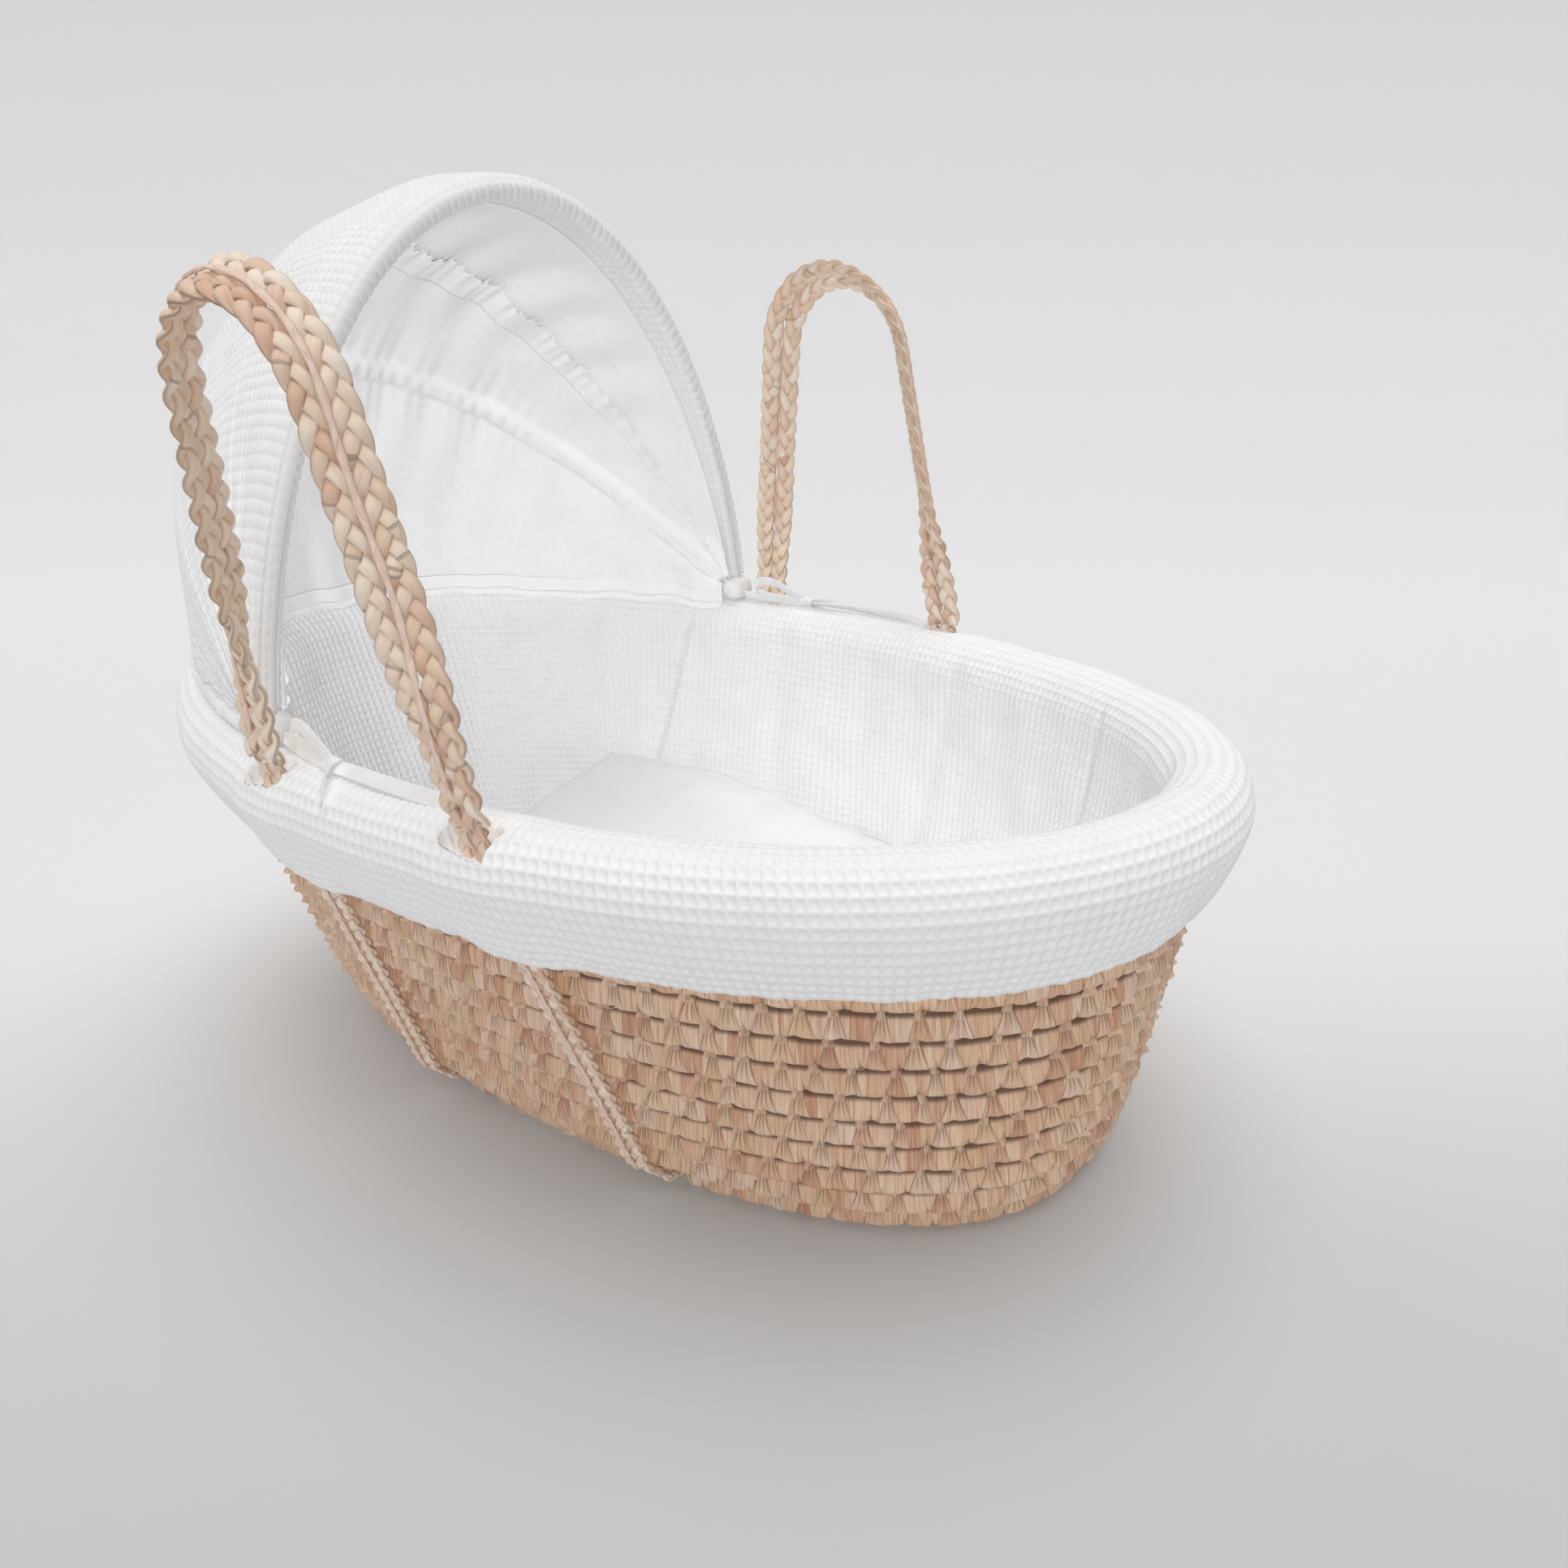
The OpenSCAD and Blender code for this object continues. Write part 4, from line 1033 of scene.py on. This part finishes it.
# ---------- bedding ----------
def slab(name, off, z_low, z_high, material, slot, nodes, body, top=None, edge=9.0, rows=26, cols=240,
         weave_turn=None, cell=5.0, x_from=None, x_to=None):
    """A soft slab of the oval: rounded edge, domed top; top(x, y) adds height."""
    a, _ = even_angles(off, z_high, cols)
    rings, values = [], []
    profile = []
    for t in np.linspace(0, 1, 7):
        profile.append((0.0 - 1.5 * math.sin(math.pi * t), t * 0.45))
    for t in np.linspace(0.1, 1, 7):
        profile.append((-edge * (1 - math.cos(t * math.pi / 2)), 0.45 + 0.55 * math.sin(t * math.pi / 2)))
    for inset, lift in profile:
        z = z_low + (z_high - z_low) * lift
        x, y = oval(a, off + inset, z)
        rings.append(np.stack([x, y, np.full(cols, z)], -1))
    rim = rings[-1]
    for t in np.linspace(0, 1, rows)[1:]:
        rings.append(rim * [1 - t, 1 - t, 1])
    verts = np.array(rings)
    if top is not None:
        share = smooth((verts[..., 2] - z_low) / max(z_high - z_low, 1))
        verts[..., 2] += top(verts[..., 0], verts[..., 1]) * share
    weave = np.zeros(verts.shape)
    if weave_turn is not None:
        c, s = math.cos(weave_turn), math.sin(weave_turn)
        weave[..., 0] = (verts[..., 0] * c + verts[..., 1] * s) / cell
        weave[..., 1] = (-verts[..., 0] * s + verts[..., 1] * c) / cell
        weave[..., 2] = 1
    base = np.arange(cols)[None, ::-1]
    faces = [grid_quads(len(rings), cols, wrap_cols=True), base]
    return make(name, verts, faces, material, slot, nodes, body, {"weave": weave.reshape(-1, 3)})


def build_bed():
    floor_low, floor_high = corners("liner_floor")
    bed = LINER_FACE - 2

    def quilt(x, y):
        return 1.2 * np.cos(x / 60 * math.pi) * np.cos(y / 60 * math.pi) - 1.2
    slab("liner_floor", bed, floor_low[2], floor_high[2], PLAIN, "plain_cloth", ("liner_floor",), "basket", quilt, 5)
    slab("mattress_core", bed - 3, sheet_low[2] + 2, sheet_high[2] - 5, PLAIN, "foam", ("mattress_core",), "mattress")

    def crown(x, y):
        return 0.9 * field(x, y, 90, 31) + 0.35 * field(x, y, 34, 32)
    slab("mattress_sheet", bed - 1, sheet_low[2], sheet_high[2] + 0.5, SHEET, "sheet_cloth", ("mattress_sheet",),
         "mattress", crown, 11, 60, 420)


WEAVE_TURN = math.radians(-24)
BLANKET_CELL = 3.6


def blanket(name, z_low, x_head, x_foot, skew, top, seed, sunk=False):
    """A lofty layer of blanket filling the oval between two cut ends, as a closed pad with soft edges."""
    nu, nv = 288, 168
    u = np.linspace(0, 1, nu)[:, None]
    v = np.linspace(-1, 1, nv)[None, :]
    edge_round = 14.0
    x_mid = x_head + (x_foot - x_head) * u + 0 * v
    width = oval_y(np.clip(x_mid, -BASE_L * 0.93, BASE_L * 0.93), z_low + 13) + LINER_FACE - 3.5
    width = np.clip(width * np.clip((BASE_L * 0.97 - np.abs(x_mid)) / 25, 0.02, 1) ** 0.5, 2, None)
    y = width * v
    x = x_mid + skew * y * (1 - u)
    d_head = (x_mid - x_head) / edge_round
    d_foot = (x_foot - x_mid) / edge_round + (9 if sunk else 0)
    d_side = (1 - np.abs(v)) * width / edge_round
    d = np.minimum(np.minimum(d_head, d_foot), d_side)
    corner = np.clip(d, 0, 1)
    lift = np.sqrt(np.clip(1 - (1 - corner) ** 2, 0, 1))
    z_top = z_low + (top(x, y) - z_low) * (0.35 + 0.65 * lift)
    z_top = z_top + lift * (0.8 * field(x, y, 60, seed) + 0.4 * field(x, y, 26, seed + 1))
    z_bottom = np.full_like(z_top, z_low) + 0.2
    verts = np.concatenate([np.stack([x, y, z_top], -1)[None], np.stack([x, y, z_bottom], -1)[None]], 0)
    c, s = math.cos(WEAVE_TURN), math.sin(WEAVE_TURN)
    weave = np.stack([(x * c + y * s) / BLANKET_CELL, (-x * s + y * c) / BLANKET_CELL, 0 * x + 1], -1)
    weave = np.concatenate([weave[None], weave[None]], 0)
    top_faces = grid_quads(nu, nv)
    bottom_faces = grid_quads(nu, nv, start=nu * nv)[:, ::-1]
    index = np.arange(nu * nv).reshape(nu, nv)
    rim = np.concatenate([index[0, :-1], index[:-1, -1], index[-1, :0:-1], index[:0:-1, 0]])
    after = np.roll(rim, -1)
    side = np.stack([rim, rim + nu * nv, after + nu * nv, after], -1)
    return make(name, verts, [top_faces, bottom_faces, side], BLANKET, "waffle_cloth", (name,), "coverlet",
                {"weave": weave.reshape(-1, 3)})


def build_coverlet():
    def lower_top(x, y):
        slope = np.interp(x, [-200, 0, 60, 130, 200, 300], [0, 1, -2, -7, -12, -16])
        return cover_high[2] + slope

    def upper_top(x, y):
        fall = np.interp(y, [-140, 0, 120], [-14, -6, 2])
        ends = np.interp(x, [-200, -150, -80, -45, -15, 15, 45, 95], [1, 0, -3, -7, -14, -20, -25, -29])
        return np.maximum(fold_high[2] + fall * smooth((60 - x) / 110) + ends, fold_low[2] - 7)
    blanket("coverlet", cover_low[2], cover_low[0] + 4, cover_high[0] - 8, 0.0, lower_top, 41)
    blanket("coverlet_fold", fold_low[2] - 4, fold_low[0] + 22, fold_high[0] + 95, -0.22, upper_top, 43, True)


# ---------- hood ----------
ARCH_CELLS = 92
HUB_R = 8.0


def arch(t, off):
    """Radius from the pivot line and place along it, for t from 0 at the near side to 1 at the far side."""
    start = np.arcsin((HOOD_X + HUB_R) / (RIM_L + off))
    turn = start + (math.pi - 2 * start) * t
    return (RIM_L + off) * np.sin(turn) - HOOD_X, -(RIM_W + off) * np.cos(turn)


def hood_point(t, angle, off):
    r, y = arch(t, off)
    return np.stack([HOOD[0] + r * np.cos(np.radians(angle)), y, HOOD[2] + r * np.sin(np.radians(angle))], -1)


def even_arch(count, off):
    t = np.linspace(0, 1, 4001)
    r, y = arch(t, off)
    s = along(np.stack([r, y], 1))
    return np.interp(np.linspace(0, s[-1], count), s, t), s[-1]


def fold_with_hood(piece, angles):
    """Bakes the piece's transform into its mesh; the piece is not folded with the hood. angles is not used."""
    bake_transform(piece)
    angles = np.ravel(angles)


def gather(t, angle, total, seed):
    """Pleats that run out from the pivots, and gathers at the elastic hem."""
    side = np.minimum(t, 1 - t) * total
    pivot = np.exp(-side / 55) * (2.2 * np.cos(angle * 1.15 + 2 * np.sin(angle * 0.3)) + 1.1 * np.cos(angle * 2.9 + 1))
    hem = np.exp(-(HEM - angle) / 7.5) * 1.9 * waves(t, 24, 44, seed)
    return pivot * smooth(side / 20), hem * smooth(side / 40)


def build_canopy():
    cols = ARCH_CELLS * 4 + 1
    t, total = even_arch(cols, 3)
    rows_face = 30
    rows_out = 200
    hoop_off = -7.5
    facing_to = FRONT + 6.5
    edge = 4.5
    # the section runs from the facing's rear edge forward, round the hoop and back to the hem
    angle_in = np.linspace(facing_to, FRONT + 0.6, rows_face)
    off_in = np.full(rows_face, hoop_off - 5.2)
    off_in[:4] += np.array([2.6, 1.2, 0.4, 0])
    turn = np.linspace(-90, 90, 12)[1:-1]
    angle_round = FRONT + 0.6 - 1.4 * np.cos(np.radians(turn))
    off_round = hoop_off + 1.2 + 6.4 * np.sin(np.radians(turn))
    angle_out = np.linspace(FRONT + 0.6, HEM, rows_out)
    off_out = np.interp(angle_out, [FRONT, FRONT + 20, HEM], [0.6, 1.2, -1.4])
    angle_back = np.linspace(HEM, facing_to + 3, 26)
    off_back = np.interp(angle_back, [FRONT, HEM], [-4.5, -3.4])
    angle = np.concatenate([angle_in, angle_round, angle_out, angle_back])[:, None]
    off = np.concatenate([off_in, off_round, off_out, off_back])[:, None]
    outer = np.concatenate([np.zeros(rows_face), np.ones(10), np.ones(rows_out), np.ones(26)])[:, None]
    sag = np.zeros_like(angle)
    for a0, a1, depth in ((FRONT + 1, CHANNEL, 7.0), (CHANNEL, HEM, 5.0)):
        inside = np.clip((angle - a0) / (a1 - a0), 0, 1)
        sag = sag - depth * np.sin(math.pi * inside) ** 1.0 * (angle > a0) * (angle < a1)
    middle = np.sin(math.pi * t)[None, :] ** 0.5
    pivot, hem = gather(t[None, :], angle, total, 51)
    swell = sag * middle + (pivot + hem) * outer + 0.8 * field(t[None, :] * total, angle * 4.5, 60, 52) * outer
    swell = swell * smooth((angle - FRONT + 1) / 5)
    band = np.exp(-((angle - FRONT - 6.0) / 0.35) ** 2) * outer
    verts = hood_point(t[None, :], angle, off + swell - 0.8 * band)
    verts = verts.reshape(angle.shape[0], cols, 3)
    r_here = arch(t[None, :], off)[0]
    cell_v = np.concatenate([[0], np.cumsum(np.abs(np.diff(angle[:, 0])))]) * math.radians(1) * 255 / 6.9
    face_on = np.concatenate([np.ones(rows_face + 10 + rows_out), np.zeros(26)])
    weave = np.stack(np.broadcast_arrays((t * total / 6.7)[None, :], cell_v[:, None], face_on[:, None]), -1)
    du = np.gradient(verts, axis=1)
    dv = np.gradient(verts, axis=0)
    normal = unit(np.cross(dv, du))
    pits = waffle_pits(weave[..., 0], weave[..., 1]) * weave[..., 2]
    verts = verts - normal * (0.8 * pits)[..., None]
    r, c = verts.shape[:2]
    ends = np.arange(r) * c
    faces = [grid_quads(r, c, wrap_rows=True)[:, ::-1], ends[None, ::-1], (ends + c - 1)[None, :]]
    piece = make("hood_canopy", verts, faces, WAFFLE, "waffle_cloth",
                 ("hood_front_panel", "hood_middle_panel", "hood_rear_panel"), None, {"weave": weave.reshape(-1, 3)})
    fold_with_hood(piece, np.broadcast_to(angle, (r, c)))


def gauze_off(t, angle):
    """Where the gauze hangs: offset inside the hood at a place along the arch and an angle."""
    hang, total = 0.0, even_arch(3, -17)[1]
    for a0, a1, depth in ((FRONT + 5, CHANNEL, 5.0), (CHANNEL, HEM, 5.0)):
        inside = np.clip((angle - a0) / (a1 - a0), 0, 1)
        hang = hang - depth * np.sin(math.pi * inside) * np.sin(math.pi * t) ** 0.6
    from_hoop = (angle - CHANNEL) * math.radians(1) * np.maximum(arch(t, -17)[0], 30)
    gathers = waves(t, 46, 80, 81)
    casing = np.exp(-(from_hoop / 7.5) ** 4)
    pulled = np.exp(-np.abs(from_hoop) / 26) * (1 - casing)
    folds = 2.2 * field(t * total, angle * 0.7, 30, 61) + 0.9 * field(t * total, angle * 1.2, 14, 62)
    out = -15.0 + hang + folds * smooth((angle - FRONT - 5) / 10) * (1 - casing)
    return out - casing * (4.6 + 0.8 * gathers) + pulled * 0.8 * gathers


def roll_height(off, x):
    """Height of the padded roll's top at an offset from the rim."""
    z = np.interp(off, [-33.6, -30.3, -22.5, -11.0, 1.0, 11.0], ROLL_TOP - np.array([26, 15, 6, 0.6, 0.2, 4.0]))
    return z + rise(x, WALL_H)


def build_lining():
    """Thin gauze inside the hood, from the front facing to the hem, where it lies over the roll's inner side."""
    cols, rows, tail = 310, 134, 18
    t, total = even_arch(cols, -17)
    angle = np.concatenate([np.linspace(FRONT + 5, HEM, rows), np.full(tail, HEM)])[:, None]
    off = gauze_off(t[None, :], angle)
    down = np.concatenate([np.zeros(rows), (np.arange(tail) + 1) / tail])[:, None]
    off = off - 6.0 * down
    outer = hood_point(t[None, :], angle, off).reshape(rows + tail, cols, 3)
    lying = roll_height(off, outer[..., 0]) + 1.4 - 2.4 * down ** 4
    share = np.maximum(smooth(down * 3), smooth((angle - HEM + 7) / 7) * 0.4)
    outer[..., 2] += (lying - outer[..., 2]) * share
    normal = unit(np.cross(np.gradient(outer, axis=0), np.gradient(outer, axis=1)))
    inner = outer + normal * 0.8
    verts = np.concatenate([outer, inner[::-1]], 0)
    count = 2 * (rows + tail)
    ends = np.arange(count) * cols
    faces = [grid_quads(count, cols, wrap_rows=True)[:, ::-1], ends[None, ::-1], (ends + cols - 1)[None, :]]
    if np.mean(normal[rows // 2, cols // 2] * (outer[rows // 2, cols // 2] - HOOD)) > 0:
        faces = [f[:, ::-1] for f in faces]
    piece = make("hood_lining", verts, faces, GAUZE, "gauze", ("hood_lining",))
    fold_with_hood(piece, np.broadcast_to(np.concatenate([angle, angle[::-1]], 0), (count, cols)))


def build_frill():
    """Frayed ruffle of gauze sewn inside the hood between its two hoops."""
    cols, rows = 900, 12
    t, total = even_arch(cols, -20)
    base = MIDDLE + 3
    v = np.linspace(0, 1, rows)[:, None]
    edge = 7.0 + 0.5 * waves(t, 40, 90, 71)[None, :] + 0.35 * waves(t, 120, 260, 72)[None, :]
    angle = base - v * edge
    ruffle = (0.3 + 1.5 * v) * (1.0 + 0.6 * waves(t, 34, 60, 73) + 0.3 * waves(t, 70, 110, 74))[None, :]
    off = gauze_off(t[None, :], angle) - 1.2 - ruffle
    outer = hood_point(t[None, :], angle, off).reshape(rows, cols, 3)
    inner = hood_point(t[None, :], angle, off - 0.7).reshape(rows, cols, 3)
    verts = np.concatenate([outer, inner[::-1]], 0)
    pile = Pile()
    ends = np.arange(2 * rows) * cols
    pile.add(verts, [grid_quads(2 * rows, cols, wrap_rows=True)[:, ::-1], ends[None, ::-1], (ends + cols - 1)[None, :]], {})
    angles = [np.concatenate([angle, angle[::-1]], 0).ravel()]
    # loose threads along the raw edge
    rng = np.random.default_rng(75)
    for _ in range(520):
        i = rng.integers(4, cols - 4)
        a0, o0 = angle[-1, i], off[-1, i]
        reach, lean, curl = rng.uniform(0.6, 1.9), rng.uniform(-1.6, 1.6), rng.uniform(-1.5, 1.5)
        steps = np.linspace(0, 1, 5)
        ang = a0 - reach * steps
        tt = np.clip(t[i] + lean * steps ** 2 / total, 0, 1)
        line = hood_point(tt, ang, o0 + curl * steps ** 2)
        tangent = unit(np.gradient(line, axis=0))
        side = unit(np.cross(tangent, [0.3, 1.0, 0.2]))
        verts, faces, _ = tube(line, side, np.cross(tangent, side), 0.22, 0.16, 4)
        pile.add(verts, faces, {})
        angles.append(np.repeat(ang, 4))
    piece = pile.make("hood_frill", GAUZE, "gauze", replaces=("hood_frill",))
    fold_with_hood(piece, np.concatenate(angles))


def build_hem():
    """Elastic band of the hood on the roll round the head end."""
    hem_low, hem_high = corners("hood_hem")
    cols = 1400
    a, length = even_angles(-4, WALL_H, 6000)
    x, y = oval(a, -4, WALL_H)
    keep = np.where(x < hem_high[0] + 4)[0]
    a = np.interp(np.linspace(0, 1, cols), np.linspace(0, 1, len(keep)), a[keep])
    turns = np.linspace(0, 1, cols)
    ring = np.arange(12) / 12 * TAU
    size = 1 + 0.16 * waves(turns, 60, 110, 91)[:, None]
    off = -4.5 + 6.2 * signed_power(np.cos(ring), 0.7)[None, :] * size
    z = hem_low[2] + 5.6 + 5.4 * signed_power(np.sin(ring), 0.8)[None, :] * size
    px, py = oval(a[:, None], off, WALL_H)
    verts = np.stack([px, py, z + rise(px, WALL_H)], -1)
    faces = [grid_quads(cols, 12, wrap_cols=True), np.arange(12)[None, ::-1],
             (cols - 1) * 12 + np.arange(12)[None, :]]
    make("hood_hem", verts, faces, PLAIN, "plain_cloth", ("hood_hem",), "basket")


def build_tabs():
    """Cloth pockets on the rim over the hoops' eyes and pins."""
    for side, name in ((-1, "near"), (1, "far")):
        low, high = corners(f"hood_tab_{name}")
        rings, sides = 13, 32
        lat = np.linspace(-math.pi / 2 + 0.08, math.pi / 2 - 0.08, rings)[:, None]
        lon = (np.arange(sides) / sides * TAU)[None, :]
        flat = np.cos(lat) ** 0.45
        crease = 1 + 0.03 * np.cos(7 * lon + 3 * lat)
        x = HOOD[0] - 0.5 + 8.4 * flat * np.cos(lon) * crease
        z = HOOD[2] - 2.5 + 9.0 * flat * signed_power(np.sin(lon), 0.8) * crease
        y = (low[1] + high[1]) / 2 + ((high[1] - low[1]) / 2 + 0.6) * signed_power(np.sin(lat), 0.8) + 0 * lon
        faces = [grid_quads(rings, sides, wrap_cols=True)[:, ::-1], np.arange(sides)[None, :],
                 (rings - 1) * sides + np.arange(sides)[None, ::-1]]
        make(f"hood_tab_{name}", np.stack([x, y, z], -1), faces, PLAIN, "plain_cloth", (f"hood_tab_{name}",), "basket")


def ribbon(pile, points, width_dirs, half=4.4, thick=0.55, count=160):
    path = through(points, count)
    dirs = unit(through(width_dirs, count))
    tangent = unit(np.gradient(path, axis=0))
    dirs = unit(dirs - tangent * np.sum(dirs * tangent, 1)[:, None])
    verts, faces, _ = tube(path, dirs, np.cross(tangent, dirs), half, thick, 12, 0.6)
    pile.add(verts, faces, {})


def build_ties():
    """Ribbon from the hood's corner along the roll to the handle's foot, tied in a bow."""
    for side, name in ((-1, "near"), (1, "far")):
        pile = Pile()
        crest = ROLL_TOP

        def at(x, out, z):
            return [x, side * (oval_y(x, WALL_H) + out), crest + z]
        up = [0, side * -0.35, 1.0]
        flat = [0, side * -0.9, 0.5]
        bow_x = -38
        ribbon(pile, [at(FOOT_X - 12, 2, -2), at(60, -2, 3.2), at(30, -4, 3.8), at(0, -5, 4.0), at(-22, -6, 3.6),
                      at(bow_x + 3, -6, 3.0)], [up, up, up, up, flat, flat])
        ribbon(pile, [at(bow_x - 3, -6, 3.0), at(-56, -7, 2.4), at(-76, -8, 3.0), at(tie_low[0] + 1, -9, 5.0)],
               [flat, flat, up, up], 3.6)
        ribbon(pile, [at(bow_x, -6, 4.0), at(-52, -8, 10), at(-68, -9, 17), at(-80, -9, 16), at(-84, -9, 10),
                      at(-76, -9, 6), at(-58, -8, 4), at(bow_x, -6, 3.6)], [up] * 8, 4.0, 0.5)
        ribbon(pile, [at(bow_x, -6, 3.6), at(-30, 2, 4), at(-22, 10, 1), at(-18, 16, -8)],
               [flat, flat, up, up], 4.0, 0.5)
        knot = [at(bow_x + 5, -6, 3.4), at(bow_x, -6, 4.2), at(bow_x - 5, -6, 3.4)]
        ribbon(pile, knot, [flat, up, flat], 4.6, 2.6, 24)
        pile.make(f"tie_{name}", PLAIN, "plain_cloth", replaces=(f"tie_{name}",), body="basket")


# ---------- stage ----------
CAMERA_TURN, CAMERA_TILT, CAMERA_FAR = math.radians(30.73), math.radians(28.22), 0.6926
CAMERA_TARGET = Vector((0.255, 0.0, 0.177))
LENS = 26.86
SHIFT = (-260 / 1932, 140 / 1932)
ROOM_LIGHT, ROOM_SEEN = 0.14, 0.75


def build_stage():
    g = Graph("pale_floor")
    grain = g.noise(g.position(), 900.0, 2.0)
    x, y = g.split(g.position())[:2]
    # painted shade: the floor gets darker toward the camera, standing in for light that falls off there
    toward_camera = g.add(g.mul(x, math.sin(CAMERA_TURN)), g.mul(y, -math.cos(CAMERA_TURN)))
    painted_falloff = g.mix(g.step(toward_camera, -0.25, 0.55), srgb(230, 230, 230), srgb(197, 199, 201))
    color = g.mix(g.mul(grain, 0.1), painted_falloff, srgb(222, 222, 222))
    floor_material = g.finish(color, 0.9, g.mul(grain, 0.1), 0.3, Specular_IOR_Level=0.1)
    xs = np.linspace(-6, 6, 3)
    sweep_y = [(-5, 0), (2.2, 0), (2.8, 0.05), (3.3, 0.25), (3.7, 0.7), (3.9, 1.4), (4.0, 5)]
    turn = math.radians(30.73)
    verts = []
    for y, z in sweep_y:
        for x in xs:
            verts.append([x * math.cos(turn) - y * math.sin(turn), x * math.sin(turn) + y * math.cos(turn), z - 0.0002])
    verts = np.array(verts) / MM
    mesh = bpy.data.meshes.new("studio_floor")
    mesh.from_pydata((verts * MM).tolist(), [], grid_quads(len(sweep_y), 3).tolist())
    mesh.shade_smooth()
    mesh.materials.append(floor_material)
    floor = bpy.data.objects.new("studio_floor", mesh)
    bpy.context.scene.collection.objects.link(floor)


def soft_light(name, toward, spread, strength, shadows=True):
    """A broad light from one direction, spread over so many degrees."""
    light = bpy.data.lights.new(name, "SUN")
    light.energy = strength
    light.angle = math.radians(spread)
    if not shadows:
        light.use_shadow = False
        light.cycles.cast_shadow = False
    lamp = bpy.data.objects.new(name, light)
    lamp.rotation_euler = Vector(toward).to_track_quat("Z", "Y").to_euler()
    bpy.context.scene.collection.objects.link(lamp)


def build_camera_and_light():
    back = Vector((math.sin(CAMERA_TURN) * math.cos(CAMERA_TILT), -math.cos(CAMERA_TURN) * math.cos(CAMERA_TILT),
                   math.sin(CAMERA_TILT)))
    data = bpy.data.cameras.new("camera")
    data.lens = LENS
    data.sensor_width = 36
    data.shift_x, data.shift_y = SHIFT
    camera = bpy.data.objects.new("camera", data)
    camera.location = CAMERA_TARGET + back * CAMERA_FAR
    camera.rotation_euler = back.to_track_quat("Z", "Y").to_euler()
    bpy.context.scene.collection.objects.link(camera)
    bpy.context.scene.camera = camera
    soft_light("overhead", (0.1, 0.1, 1), 55, 1.72)
    soft_light("window", (-1, -0.1, 0.9), 50, 0.35)
    soft_light("front_fill", (0.45, -0.75, 0.36), 50, 1.34, shadows=False)
    world = bpy.data.worlds.new("soft_room")
    world.use_nodes = True
    background = world.node_tree.nodes["Background"]
    background.inputs["Color"].default_value = (1, 1, 1, 1)
    seen = world.node_tree.nodes.new("ShaderNodeLightPath").outputs["Is Camera Ray"]
    level = world.node_tree.nodes.new("ShaderNodeMapRange")
    level.inputs["To Min"].default_value = ROOM_LIGHT
    level.inputs["To Max"].default_value = ROOM_SEEN
    world.node_tree.links.new(seen, level.inputs["Value"])
    world.node_tree.links.new(level.outputs["Result"], background.inputs["Strength"])
    bpy.context.scene.world = world
    bpy.context.scene.view_settings.view_transform = "Standard"


build_basket()
build_straps()
build_handles()
build_liner()
build_bed()
build_coverlet()
build_canopy()
build_lining()
build_frill()
build_hem()
build_tabs()
build_ties()
for node_name in ("hood_front_hoop", "hood_middle_hoop"):
    hoop = frame["nodes"][node_name]
    hoop.data.materials.clear()
    hoop.data.materials.append(PLASTIC)
build_stage()
build_camera_and_light()
